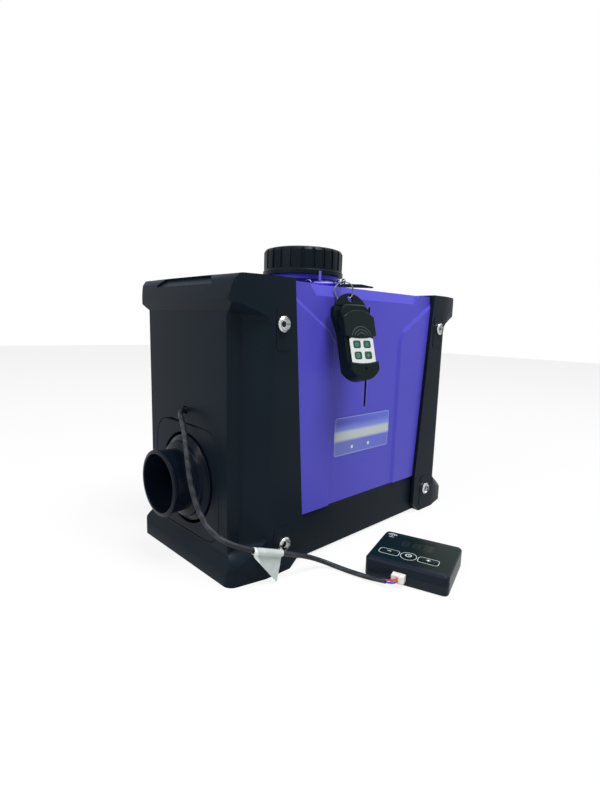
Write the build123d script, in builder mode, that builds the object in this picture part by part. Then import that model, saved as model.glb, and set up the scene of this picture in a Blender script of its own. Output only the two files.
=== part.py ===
"""Portable diesel air heater: a saddle fuel tank over a heater core, between two end caps.

Millimetres, +Z up.  The origin is the middle of the footprint, on the floor.  X runs along the
heater: warm air leaves at -X, and fresh air enters at +X.  The side with the label faces -Y.
"""

import math
import os

from build123d import *

os.makedirs("parts", exist_ok=True)

# ---------------------------------------------------------------- driving dimensions
CASE_LENGTH = 360.0          # over the flanges and feet of the two end caps
CASE_DEPTH = 174.6           # over the front and rear columns
CASE_HEIGHT = 273.0          # floor to the top of the end caps
FLANGE_DEPTH = 159.0         # depth of a flange or foot at its outer end
FLANGE_CORNER = 10.0         # corner radius of the flanges, seen from above
NOSE_WIDTH = 138.6           # the flat end panel between flange and foot
NOSE_SET_BACK = 5.5          # end panel behind the flange's edge
CAP_WALL = 4.0
CREST_CUT = (8.5, 3.7, 5.5)  # the flange's upper edge: in at the top, in below, and down
FOOT_CUT = (14.5, 12.3)      # the foot's inner corner, along and up
FOOT_HEIGHT = 12.5
FOOT_BEVEL = 14.3
FLANGE_HEIGHT = 21.0
FLANGE_BEVEL = 9.0
COLUMN_TOP_X = 116.0         # inner edge of a column at the top
COLUMN_LOW_X = 99.0          # inner edge of a column beside the tray
COLUMN_OUTER_X = 143.0       # outer edge of a column
POCKET_ROUND = 8.0           # upper corners of the recess beside the nose
POCKET_LOW_RISE = 3.5        # the recess's corners above the foot's bevel and below the flange's
POCKET_HIGH_DROP = 3.0
POCKET_INNER_LOW = 1.6       # its run-out at the nose, from the bevels
POCKET_INNER_HIGH = 3.4
POCKET_OUTER_LOW = (23.0, -7.6)
POCKET_OUTER_HIGH = (14.0, 11.4)
NOTCH_WIDTH = 98.0           # bevel in the middle of the end's top edge
NOTCH_DEPTH = 9.6
NOTCH_AT = (7.0, 5.2)        # in from the end and down from the top
PAD_ROUND = 4.0
HIGH_PAD = (18.0, 38.0, 2.0, -4.0)     # length, height, and shift from the screw
LOW_PAD = (22.0, 40.0, -1.0, -3.0)
HOLLOW_GAP = (1.5, 2.0)      # the hollow's corners inside the column's and the recess's
NOSE_SIDE_DEPTH = 13.5       # depth of the nose's flat side strip
FIT = 0.3                    # clearance between the moulded shells

TRAY_HEIGHT = 48.4
TRAY_SET_BACK = 2.0          # tray wall behind the tank's face
TRAY_WALL = 3.0
TRAY_RAISE = 2.8             # edge of the tray above the floor
BELLY_LENGTH = 180.0
BELLY_FRONT = 66.0           # belly's front edge from the middle

TANK_HALF_LENGTH = 139.0
TANK_TOP = 271.2
TANK_WALL = 3.5
TUNNEL_WIDTH = 124.0
TUNNEL_TOP = 146.0
TUNNEL_ROUND = 30.0
PANEL_RECESS = 2.2           # sunk middle of the tank's front
PANEL_HALF_WIDTH = 58.0
PANEL_KNEE_Z = 227.0
PANEL_KNEE = (9.0, 5.0)      # the knees reach out by this, at -X and +X
PANEL_BEVEL_ANGLE = 60.0
TANK_ROUND = (6.0, 3.0)      # upright edges and roof edges
CAVITY_CUT = (8.0, 12.0)     # the fuel space's upper corners, across and down
SCOOP_LOW_WIDTH = 156.0      # deep bevel along the tank's top front edge
SCOOP_TOP_WIDTH = 191.0
SCOOP_HEIGHT = 15.0
SCOOP_SET_BACK = 8.0

LEVEL_X = -2.3
LEVEL_LOW_Z = 148.3
LEVEL_HIGH_Z = 253.0
LEVEL_WIDTH = 2.6
LEVEL_DEPTH = 1.6
LEVEL_SUNK = 0.7             # the strip's face below the panel
LABEL_X = -2.0
LABEL_Z = 118.2
LABEL_WIDTH = 95.0
LABEL_HEIGHT = 43.0
LABEL_ROUND = 3.5
LABEL_RECESS = 0.8
LABEL_THICK = 0.6

NECK_X = -23.0
NECK_RADIUS = 36.0
NECK_BORE = 30.0
COLLAR_RADIUS = 40.5
COLLAR_HEIGHT = 4.6
CAP_RADIUS = 44.0            # over the ribs
CAP_RIM = 1.0                # the lower rim stands out by this
CAP_RIM_HEIGHT = 4.0
CAP_CROWN = (5.6, 4.0)       # rounding of the upper edge, inwards and down
CAP_SHOULDER = (1.8, 1.2)
CAP_GROOVE = (1.4, 3.4)      # depth and width of the grooves between the ribs
CAP_LOW_Z = 286.2
CAP_TOP_Z = 314.6
CAP_RIBS = 24
CAP_ROOF = 4.0
CAP_CLEARANCE = 0.6
THREAD_RADIUS = 38.5         # crest of the neck's thread
SEAL_THICK = 2.8
SEAL_GAP = 0.2
SEAL_INSET = 0.5
TIE_WIDTH = 4.0
TIE_THICK = 1.5
TIE_Z = 276.2
TIE_INNER = 39.0
TIE_TAIL_END_X = 61.0
TIE_TAIL_RISE = (1.5, 3.5)   # at the head and at the tip
TIE_TIP = (22.0, 0.8)        # length of the tapering tip, and half its end
TIE_TOUCH = 0.1
TIE_HEAD = (7.5, 6.5, 0.4)   # length, depth, and rise over the band
TIE_HEAD_SHIFT = 27.0        # head beside the neck's middle

DUCT_Z = 81.9                # height of the heater's axis
DUCT_RADIUS = 30.2           # outside of the warm-air spigot
DUCT_WALL = 2.4
DUCT_BEAD = 31.7
DUCT_MOUTH_X = -204.6
DUCT_COLLAR = 42.4
DUCT_SHOULDER = 36.4
BEAD_AT = (0.8, 3.2, 4.6)    # from the mouth: the bead's two edges, and the tube behind it
MOUTH_LIP = 0.6
STEP_AT = (8.5, 6.5, 3.5, 1.0)         # the collar's steps, out from the end panel
COLLAR_BEVEL = 1.2
DUCT_SOCKET = 5.5            # the spigot and the inner duct meet this far inside the panel
PLATE_WIDTH = 113.4          # rounded-square cover plate round the spigot
PLATE_HEIGHT = 108.0
PLATE_ROUND = 22.0
PLATE_THICK = 2.4
PLATE_SEAM = 0.5
PLATE_HOLE = 45.0
GRILLE_RINGS = 5
GRILLE_SPOKES = 6
GRILLE_HUB = 8.0
GRILLE_BAR = 2.4
INLET_RADIUS = 48.0
INLET_WALL = 3.0
DUCT_FLANGE = 3.0            # plates that close the ends of the air jacket

SCREW_HEAD_RADIUS = 7.0
SCREW_HEAD_HEIGHT = 3.6
SCREW_RADIUS = 2.5
SCREW_HOLE_GAP = 0.05
SCREW_LENGTH = 15.0
SCREW_HEX = 4.6
SCREW_CROWN = 1.6
SOCKET_FLOOR = 1.0
HIGH_SCREW = (130.1, 232.8)
LOW_SCREW = (123.0, 28.6)
BOSS_RADIUS = 7.0
PAD_RISE = 0.5

JACKET_WIDTH = 112.0
JACKET_HEIGHT = 108.0
JACKET_LENGTH = 262.0
JACKET_ROUND = 28.0
JACKET_WALL = 2.5
EXCHANGER_LOW_X = -120.0
EXCHANGER_HIGH_X = -8.0
EXCHANGER_RADIUS = 33.0
EXCHANGER_BORE = 28.0
FIN_RADIUS = 49.0
FIN_THICK = 2.4
FIN_COUNT = 18
BURNER_RADIUS = 22.0
HOUSING_RADIUS = 40.0
HOUSING_LENGTH = 36.0
HOUSING_WALL = 3.0
IMPELLER_RADIUS = 28.0
IMPELLER_GAP = 2.0           # axial room round the impeller
IMPELLER_PLATE = 2.5
IMPELLER_BLADES = 10
IMPELLER_BLADE_THICK = 1.5
MOTOR_RADIUS = 25.0
MOTOR_LENGTH = 48.0
SHAFT_RADIUS = 3.0
SHAFT_GAP = 0.05
HUB_RADIUS = 6.0
PLUG_HEX = 5.0               # the glow plug's hexagon, its height, and its terminal's
PLUG_HEIGHT = 7.0
TERMINAL_RADIUS = 2.0
TERMINAL_HEIGHT = 10.0
HUB_GAP = 0.02               # the wheels are tight on the shaft
FAN_RADIUS = 47.0
FAN_HUB = 13.0
FAN_BLADES = 7
FAN_BLADE_THICK = 1.8
FAN_ROOT_PITCH = 52.0
FAN_ROOT_CHORD = 21.0
FAN_TIP_PITCH = 68.0
FAN_TIP_CHORD = 27.0
FAN_GAP = 6.0                # between the motor and the fan
FAN_LENGTH = 20.0
STUB_RADIUS = 12.0
STUB_WALL = 1.5
STUB_STEP = 0.4
EXHAUST_X = -70.0
INTAKE_X = 10.0
STUB_REACH = 20.0            # how far the stubs stand out behind the tray
ELBOW_RADIUS = 13.0
BOARD_X = 62.0
BOARD_LENGTH = 84.0
BOARD_WIDTH = 44.0
BOARD_THICK = 1.6
BOARD_STAND = 3.0
POST_RADIUS = 2.0
CHIP_SIZE = (16.0, 10.0, 3.6)
PUMP_AT = (-155.0, 38.0, 152.0)
PUMP_RADIUS = 12.5
PUMP_LENGTH = 50.0
PUMP_SPOUT = 8.0
PUMP_CLIP = 12.0
FUEL_LINE_RADIUS = 2.5
FUEL_BEND = 5.0

OUTLET_AT = (68.0, 62.0)     # tank outlet: across and height
OUTLET_NUT = 4.0
GLAND_X = 60.0
GLAND_HEX = 9.0
GLAND_BODY = 6.5
GLAND_BORE = 4.0
GLAND_STEP = 6.0             # length of the nut, of the body, and depth of the bore

CORD_RADIUS = 2.4
CORD_SLOT = 7.2
CORD_EXIT_Z = 149.0
CLAMP_DEPTH = 8.0
WIRE_RADIUS = 0.8
WIRE_PITCH = (1.1, 1.6)      # off the middle, at the cable and at the plug
TAG_THICK = 0.5
TAG_FOOT_Z = 0.6
TAG_INSET = 1.0
TAG_FOOT_BACK = 6.0
TAG_BACK_DROP = 6.0
PLUG_SIZE = (12.0, 6.5, 7.0)

CONTROLLER_WIDTH = 78.0
CONTROLLER_DEPTH = 68.4
CONTROLLER_HEIGHT = 18.8
CONTROLLER_ROUND = 5.0
CONTROLLER_AT = (-23.7, -168.3)
CONTROLLER_TURN = -72.0      # its cord side faces the heater's outlet end
CONTROLLER_WALL = 2.0
BOARD_Z = 6.0
POST_PITCH = (56.0, 48.0)
POST_SIZE = 3.0
KEY_STEM = 1.5
KEY_FLANGE = 1.0
PLUG_X = -5.0
PLUG_LOW_Z = 4.5
DISPLAY_AT = (-1.5, 12.5)
DISPLAY_SIZE = (35.0, 19.0)
DISPLAY_RECESS = 1.0
KEY_LENGTH = 16.5
KEY_WIDTH = 7.0
KEY_RISE = 0.8
POWER_RADIUS = 5.0
MINUS_AT = (-21.8, -12.6)
POWER_AT = (-3.0, -12.6)
PLUS_AT = (15.8, -12.6)
KEY_TRAVEL = 0.4

FOB_HOLE_AT = (-48.4, -92.0, 258.75)
FOB_LEAN = 15.0              # the remote's foot hangs clear of the tank
FOB_TURN = 8.0               # its face looks a little towards the outlet end
FOB_DOME = 22.0              # radius of the back shell's round top
FOB_TOP = 5.4                # top of the dome above the hole
FOB_WAIST = 18.2             # half the width of the straight lower part
FOB_WAIST_DROP = 33.0        # drops are measured down the face from the hole
FOB_SIDE_DROP = 70.5
FOB_FOOT_DROP = 80.8
FOB_SHELL_DROP = 7.0         # top of the thick part
FOB_THICK = 15.0
FOB_ROUND = 9.0
FOB_CORNER = 3.0
LUG_THICK = 2.4
LUG_HOLE = 3.3
ISLAND_TOP = 16.0            # raised middle of the front, under the cover and round the keys
BEZEL_TOP = 39.7             # upper edge of the bright frame
BEZEL_LOW = 65.0
BEZEL_WIDTH = 30.4
BEZEL_RISE = 1.5
BUTTON_WIDTH = 8.9
BUTTON_HEIGHT = 6.8
BUTTON_ROUND = 1.8
BUTTON_PITCH = (12.9, 10.6)
BUTTON_DROP = 51.8           # middle of the four keys
BUTTON_TRAVEL = 0.5
BUTTON_SINK = 0.1            # keys below the frame's face
WELL_DEPTH = 2.3
COVER_WALL = 1.2
COVER_SKIRT = 2.0            # the cover's side skirts reach this far from the parting line
COVER_TOP = 13.4
COVER_SIDE_TOP = 20.0
COVER_SIDE_LOW = 38.4
COVER_SAG = 2.4              # its lower edge hangs lower in the middle
COVER_TRAVEL = 24.0
LED_DROP = 69.7
LED_RADIUS = 1.2

RING_AT = (-51.9, -87.5, 266.1)
RING_RADIUS = 9.0
RING_WIRE = 0.7
RING_TURN = 52.0             # the ring's plane against the tank's front
LINK_LENGTH = 10.0
LINK_WIDTH = 6.0
LINK_WIRE = 1.2
LINK_THICK = 1.2
LINK_PITCH = 7.3
CLASP_EYE = 3.6
CLASP_WIRE = 0.8
CLASP_SWIVEL = 3.0
SWIVEL_WIRE = 1.0
CLASP_ROUND = 3.0
CLASP_TAPER = 1.1            # radius at the ends of its body
CLASP_NECK = 9.0             # distances along the body from the eye
CLASP_SHOULDER = 24.0
CLASP_LEVER_AT = 14.0
CLASP_LEVER = 12.5
CLASP_LEVER_RADIUS = 1.4
CLASP_SHIFT = 24.7           # clasp's eye beside the neck's middle
CHAIN_ANGLE = -120.0         # direction of the chain, seen from above

# ---------------------------------------------------------------- places worked out from them
END_X = CASE_LENGTH / 2
NOSE_X = END_X - NOSE_SET_BACK
NOSE_INNER_X = NOSE_X - CAP_WALL
FRONT_Y = CASE_DEPTH / 2
SHELL_Y = FRONT_Y - CAP_WALL                 # inner face of a column
TANK_Y = SHELL_Y - FIT                       # front face of the tank
TRAY_Y = TANK_Y - TRAY_SET_BACK
NOSE_Y = NOSE_WIDTH / 2
FLANGE_Y = FLANGE_DEPTH / 2
CAP_CEILING = CASE_HEIGHT - CAP_WALL
FLANGE_LOW_Z = CASE_HEIGHT - FLANGE_HEIGHT
NECK_TOP_Z = CAP_TOP_Z - CAP_ROOF - SEAL_GAP - SEAL_THICK - FIT
POCKET_X = NOSE_X - NOSE_SIDE_DEPTH
POCKET_LOW_Z = FOOT_HEIGHT + FOOT_BEVEL + POCKET_LOW_RISE
POCKET_HIGH_Z = FLANGE_LOW_Z - FLANGE_BEVEL - POCKET_HIGH_DROP
DUCT_BORE = DUCT_RADIUS - DUCT_WALL
DUCT_BACK_X = -NOSE_INNER_X + DUCT_SOCKET
STUB_Z = TRAY_WALL + STUB_RADIUS + FIT
PANEL_Y = TANK_Y - PANEL_RECESS
JACKET_END_X = JACKET_LENGTH / 2
JACKET_LOW_Z = DUCT_Z - JACKET_HEIGHT / 2
JACKET_HIGH_Z = DUCT_Z + JACKET_HEIGHT / 2
HOUSING_END_X = EXCHANGER_HIGH_X + HOUSING_LENGTH
INJECT_X = HOUSING_END_X - 2 * HUB_RADIUS     # where the fuel enters the burner housing


# ---------------------------------------------------------------- end caps
def end_cap_blank():
    """The moulded end cap at -X, before the cut-outs that tell left from right."""
    with BuildPart() as cap:
        # Front view: the inner edge leans out towards the top, and the foot's inner corner is cut.
        with BuildSketch(Plane.XZ):
            with BuildLine():
                Polyline(
                    (-COLUMN_TOP_X, CASE_HEIGHT),
                    (-END_X + CREST_CUT[0], CASE_HEIGHT),
                    (-END_X + CREST_CUT[1], CASE_HEIGHT - CREST_CUT[2]),
                    (-END_X, FLANGE_LOW_Z),
                    (-END_X, 0),
                    (-COLUMN_LOW_X - FOOT_CUT[0], 0),
                    (-COLUMN_LOW_X, FOOT_CUT[1]),
                    (-COLUMN_LOW_X, TRAY_HEIGHT),
                    close=True,
                )
            make_face()
        extrude(amount=FRONT_Y, both=True)

        # Plan view: straight behind the columns, drawn in towards the rounded outer corners.
        with BuildSketch(Plane.XY):
            with BuildLine():
                Polyline(
                    (-COLUMN_LOW_X + 10, -FRONT_Y),
                    (-COLUMN_OUTER_X, -FRONT_Y),
                    (-END_X, -FLANGE_Y),
                    (-END_X, FLANGE_Y),
                    (-COLUMN_OUTER_X, FRONT_Y),
                    (-COLUMN_LOW_X + 10, FRONT_Y),
                    close=True,
                )
            make_face()
            outer = vertices().group_by(Axis.X)[0]
            fillet(outer, radius=FLANGE_CORNER)
        extrude(amount=CASE_HEIGHT, mode=Mode.INTERSECT)

        # The recess between column, nose, flange and foot, front and rear.
        inner_y = NOSE_Y
        outer_y = FRONT_Y
        beyond = END_X + 10
        inner_points = [
            (-POCKET_X, POCKET_LOW_Z),
            (-beyond, FOOT_HEIGHT + FOOT_BEVEL - POCKET_INNER_LOW),
            (-beyond, FLANGE_LOW_Z - FLANGE_BEVEL + POCKET_INNER_HIGH),
            (-POCKET_X, POCKET_HIGH_Z),
        ]
        outer_points = [
            (-COLUMN_OUTER_X, FOOT_HEIGHT + POCKET_OUTER_LOW[0]),
            (-beyond, POCKET_OUTER_LOW[1]),
            (-beyond, FLANGE_LOW_Z + POCKET_OUTER_HIGH[1]),
            (-COLUMN_OUTER_X, FLANGE_LOW_Z - POCKET_OUTER_HIGH[0]),
        ]
        far_points = [
            (2 * o[0] - i[0], 2 * o[1] - i[1]) for o, i in zip(outer_points, inner_points)
        ]
        far_y = 2 * outer_y - inner_y
        for side in (1, -1):
            with BuildSketch(Plane.XZ.offset(side * inner_y)):
                with BuildLine():
                    Polyline(*inner_points, close=True)
                make_face()
                fillet(vertices().group_by(Axis.X)[-1], radius=POCKET_ROUND)
            with BuildSketch(Plane.XZ.offset(side * far_y)):
                with BuildLine():
                    Polyline(*far_points, close=True)
                make_face()
                fillet(vertices().group_by(Axis.X)[-1], radius=POCKET_ROUND)
            loft(ruled=True, mode=Mode.SUBTRACT)

        # The end panel stands back from the flange and the foot, with a bevel to each.
        with BuildSketch(Plane.XZ):
            with BuildLine():
                Polyline(
                    (-END_X - 10, FOOT_HEIGHT),
                    (-END_X, FOOT_HEIGHT),
                    (-NOSE_X, FOOT_HEIGHT + FOOT_BEVEL),
                    (-NOSE_X, FLANGE_LOW_Z - FLANGE_BEVEL),
                    (-END_X, FLANGE_LOW_Z),
                    (-END_X - 10, FLANGE_LOW_Z),
                    close=True,
                )
            make_face()
        extrude(amount=FRONT_Y, both=True, mode=Mode.SUBTRACT)

        # A broad notch bevels the middle of the end's top edge.
        notch = Plane(
            origin=(-END_X + NOTCH_AT[0], 0, CASE_HEIGHT - NOTCH_AT[1]),
            x_dir=(0, -1, 0),
            z_dir=(-1, 0, 1),
        )
        with BuildSketch(notch):
            Trapezoid(NOTCH_WIDTH, NOTCH_DEPTH, 135, rotation=180)
        extrude(amount=NOTCH_DEPTH + CAP_WALL, mode=Mode.SUBTRACT)

        # The hollow: as deep as the tank behind the columns, and narrow inside the nose.
        with BuildSketch(Plane.XY.offset(TRAY_RAISE - FIT)):
            with BuildLine():
                Polyline(
                    (-COLUMN_LOW_X + 20, -SHELL_Y),
                    (-COLUMN_OUTER_X + HOLLOW_GAP[0], -SHELL_Y),
                    (-POCKET_X + HOLLOW_GAP[1], -NOSE_Y + CAP_WALL),
                    (-NOSE_INNER_X, -NOSE_Y + CAP_WALL),
                    (-NOSE_INNER_X, NOSE_Y - CAP_WALL),
                    (-POCKET_X + HOLLOW_GAP[1], NOSE_Y - CAP_WALL),
                    (-COLUMN_OUTER_X + HOLLOW_GAP[0], SHELL_Y),
                    (-COLUMN_LOW_X + 20, SHELL_Y),
                    close=True,
                )
            make_face()
        extrude(amount=CAP_CEILING - TRAY_RAISE + FIT, mode=Mode.SUBTRACT)

        # Raised pads under the screw heads, and the screw holes through the columns.
        for side in (1, -1):
            with BuildSketch(Plane.XZ.offset(side * FRONT_Y)):
                for screw, pad in ((HIGH_SCREW, HIGH_PAD), (LOW_SCREW, LOW_PAD)):
                    with Locations((-screw[0] + pad[2], screw[1] + pad[3])):
                        RectangleRounded(pad[0], pad[1], PAD_ROUND)
            extrude(amount=side * PAD_RISE)
        with Locations(
            *[
                Location((-x, 0, z), (90, 0, 0))
                for x, z in (HIGH_SCREW, LOW_SCREW)
            ]
        ):
            Cylinder(SCREW_RADIUS + FIT, CASE_DEPTH + 20, mode=Mode.SUBTRACT)
    return cap.part


cap_blank = end_cap_blank()
left_face = Plane(origin=(-NOSE_X, 0, DUCT_Z), x_dir=(0, -1, 0), z_dir=(-1, 0, 0))
right_face = Plane(origin=(NOSE_X, 0, DUCT_Z), x_dir=(0, 1, 0), z_dir=(1, 0, 0))

with BuildPart() as left_end_cap:
    add(cap_blank)
    with BuildSketch(left_face):
        RectangleRounded(PLATE_WIDTH, PLATE_HEIGHT, PLATE_ROUND)
    extrude(amount=-PLATE_THICK, mode=Mode.SUBTRACT)
    with BuildSketch(left_face):
        Circle(PLATE_HOLE + 2)
    extrude(amount=-CAP_WALL - 6, mode=Mode.SUBTRACT)
    with BuildSketch(left_face):
        with Locations((0, CORD_EXIT_Z - DUCT_Z)):
            Rectangle(CORD_SLOT, CORD_SLOT)
    extrude(amount=-CAP_WALL - 1, mode=Mode.SUBTRACT)
left_end_cap.part.label = "left_end_cap"

with BuildPart() as right_end_cap:
    mirror(cap_blank, about=Plane.YZ)
    with BuildSketch(right_face):
        RectangleRounded(PLATE_WIDTH, PLATE_HEIGHT, PLATE_ROUND)
    extrude(amount=-PLATE_THICK, mode=Mode.SUBTRACT)
    with BuildSketch(right_face):
        Circle(PLATE_HOLE + 2)
    extrude(amount=-CAP_WALL - 6, mode=Mode.SUBTRACT)
right_end_cap.part.label = "right_end_cap"

# ---------------------------------------------------------------- fuel tank
boss_places = [(side, x) for side in (1, -1) for x in (HIGH_SCREW[0], -HIGH_SCREW[0])]

with BuildPart() as fuel_tank:
    # A saddle: the legs stand on the tray's rim, on each side of the tunnel.
    with BuildSketch(Plane.YZ.offset(-TANK_HALF_LENGTH)):
        with Locations((0, (TANK_TOP + TRAY_HEIGHT) / 2)):
            Rectangle(2 * TANK_Y, TANK_TOP - TRAY_HEIGHT)
    extrude(amount=2 * TANK_HALF_LENGTH)
    fillet(edges().filter_by(Axis.Z), radius=TANK_ROUND[0])
    fillet(edges().filter_by(Axis.X).group_by(Axis.Z)[-1], radius=TANK_ROUND[1])

    # The ends of the roof step down to slide under the caps.
    for side in (1, -1):
        with BuildSketch(Plane.XZ):
            with Locations((side * (TANK_HALF_LENGTH + COLUMN_TOP_X - FIT) / 2, TANK_TOP)):
                Rectangle(
                    TANK_HALF_LENGTH - COLUMN_TOP_X + FIT,
                    2 * (TANK_TOP - CAP_CEILING + FIT),
                )
        extrude(amount=TANK_Y, both=True, mode=Mode.SUBTRACT)

    # The deep bevel along the top front edge, and the same at the rear.
    for side in (1, -1):
        bevel = Plane(
            origin=(0, -side * TANK_Y, TANK_TOP - SCOOP_HEIGHT),
            x_dir=(side, 0, 0),
            z_dir=(0, -side * SCOOP_HEIGHT, SCOOP_SET_BACK),
        )
        slope = math.hypot(SCOOP_HEIGHT, SCOOP_SET_BACK)
        flare = math.degrees(math.atan2(slope, (SCOOP_TOP_WIDTH - SCOOP_LOW_WIDTH) / 2))
        with BuildSketch(bevel):
            with Locations((0, slope / 2)):
                Trapezoid(SCOOP_TOP_WIDTH, slope, flare, rotation=180)
        extrude(amount=SCOOP_HEIGHT, mode=Mode.SUBTRACT)

    # The sunk panel: its arms run out to the columns above the knees.
    for side in (1, -1):
        with BuildSketch(Plane.XZ.offset(side * TANK_Y)):
            with BuildLine():
                Polyline(
                    (-PANEL_HALF_WIDTH, TRAY_HEIGHT - 10),
                    (-PANEL_HALF_WIDTH, PANEL_KNEE_Z - 10),
                    (-PANEL_HALF_WIDTH - PANEL_KNEE[0], PANEL_KNEE_Z),
                    (-TANK_HALF_LENGTH - 10, PANEL_KNEE_Z + 50),
                    (TANK_HALF_LENGTH + 10, PANEL_KNEE_Z + 50),
                    (PANEL_HALF_WIDTH + PANEL_KNEE[1], PANEL_KNEE_Z),
                    (PANEL_HALF_WIDTH, PANEL_KNEE_Z - 10),
                    (PANEL_HALF_WIDTH, TRAY_HEIGHT - 10),
                    close=True,
                )
            make_face()
        extrude(amount=-side * PANEL_RECESS, taper=PANEL_BEVEL_ANGLE, mode=Mode.SUBTRACT)

    # The filler neck: a collar under the cap, and the threaded mouth inside it.
    with Locations((NECK_X, 0, TANK_TOP)):
        Cylinder(
            NECK_RADIUS,
            CAP_LOW_Z - TANK_TOP,
            align=(Align.CENTER, Align.CENTER, Align.MIN),
        )
    with Locations((NECK_X, 0, CAP_LOW_Z - FIT)):
        Cylinder(
            THREAD_RADIUS,
            NECK_TOP_Z - CAP_LOW_Z + FIT,
            align=(Align.CENTER, Align.CENTER, Align.MIN),
        )
    with Locations((NECK_X, 0, CAP_LOW_Z - FIT)):
        Cylinder(
            COLLAR_RADIUS,
            COLLAR_HEIGHT,
            align=(Align.CENTER, Align.CENTER, Align.MAX),
        )

    # The tunnel for the heater, open at both ends.
    with BuildSketch(Plane.YZ.offset(-TANK_HALF_LENGTH)):
        with BuildLine():
            half = TUNNEL_WIDTH / 2
            FilletPolyline(
                (-half, TRAY_HEIGHT - 1),
                (-half, TUNNEL_TOP),
                (half, TUNNEL_TOP),
                (half, TRAY_HEIGHT - 1),
                radius=TUNNEL_ROUND,
            )
            Line((half, TRAY_HEIGHT - 1), (-half, TRAY_HEIGHT - 1))
        make_face()
    extrude(amount=2 * TANK_HALF_LENGTH, mode=Mode.SUBTRACT)

    # The fuel space, one wall inside the saddle.
    cavity_y = PANEL_Y - TANK_WALL
    cavity_top = CAP_CEILING - FIT - TANK_WALL
    with BuildSketch(Plane.YZ.offset(-TANK_HALF_LENGTH + TANK_WALL)):
        with BuildLine():
            Polyline(
                (-cavity_y, TRAY_HEIGHT + TANK_WALL),
                (-cavity_y, cavity_top - CAVITY_CUT[1]),
                (-cavity_y + CAVITY_CUT[0], cavity_top),
                (cavity_y - CAVITY_CUT[0], cavity_top),
                (cavity_y, cavity_top - CAVITY_CUT[1]),
                (cavity_y, TRAY_HEIGHT + TANK_WALL),
                close=True,
            )
        make_face()
        with BuildLine():
            half = TUNNEL_WIDTH / 2 + TANK_WALL
            FilletPolyline(
                (-half, TRAY_HEIGHT - 1),
                (-half, TUNNEL_TOP + TANK_WALL),
                (half, TUNNEL_TOP + TANK_WALL),
                (half, TRAY_HEIGHT - 1),
                radius=TUNNEL_ROUND + TANK_WALL,
            )
            Line((half, TRAY_HEIGHT - 1), (-half, TRAY_HEIGHT - 1))
        make_face(mode=Mode.SUBTRACT)
    extrude(amount=2 * (TANK_HALF_LENGTH - TANK_WALL), mode=Mode.SUBTRACT)
    with Locations((NECK_X, 0, cavity_top - 1)):
        Cylinder(
            NECK_BORE,
            CAP_TOP_Z - cavity_top,
            align=(Align.CENTER, Align.CENTER, Align.MIN),
            mode=Mode.SUBTRACT,
        )

    # Blind bosses for the upper screws.
    for side, x in boss_places:
        with BuildSketch(Plane.XZ.offset(side * PANEL_Y)):
            with Locations((x, HIGH_SCREW[1])):
                Circle(BOSS_RADIUS)
        extrude(amount=-side * SCREW_LENGTH)
        with BuildSketch(Plane.XZ.offset(side * TANK_Y)):
            with Locations((x, HIGH_SCREW[1])):
                Circle(SCREW_RADIUS + SCREW_HOLE_GAP)
        extrude(amount=-side * (SCREW_LENGTH - CAP_WALL), mode=Mode.SUBTRACT)

    # The level slot's groove and the label's bed.
    with BuildSketch(Plane.XZ.offset(PANEL_Y)):
        with Locations((LEVEL_X, (LEVEL_LOW_Z + LEVEL_HIGH_Z) / 2)):
            SlotOverall(LEVEL_HIGH_Z - LEVEL_LOW_Z, LEVEL_WIDTH, rotation=90)
    extrude(amount=-LEVEL_DEPTH, mode=Mode.SUBTRACT)
    with BuildSketch(Plane.XZ.offset(PANEL_Y)):
        with Locations((LABEL_X, LABEL_Z)):
            RectangleRounded(LABEL_WIDTH, LABEL_HEIGHT, LABEL_ROUND)
    extrude(amount=-LABEL_RECESS, mode=Mode.SUBTRACT)
fuel_tank.part.label = "fuel_tank"

with BuildPart() as level_strip:
    with BuildSketch(Plane.XZ.offset(PANEL_Y - LEVEL_DEPTH)):
        with Locations((LEVEL_X, (LEVEL_LOW_Z + LEVEL_HIGH_Z) / 2)):
            SlotOverall(LEVEL_HIGH_Z - LEVEL_LOW_Z - FIT, LEVEL_WIDTH - FIT, rotation=90)
    extrude(amount=LEVEL_DEPTH - LEVEL_SUNK)
level_strip.part.label = "level_strip"

with BuildPart() as label_plate:
    with BuildSketch(Plane.XZ.offset(PANEL_Y - LABEL_RECESS)):
        with Locations((LABEL_X, LABEL_Z)):
            RectangleRounded(LABEL_WIDTH - 2 * FIT, LABEL_HEIGHT - 2 * FIT, LABEL_ROUND)
    extrude(amount=LABEL_THICK)
label_plate.part.label = "label_plate"

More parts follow.
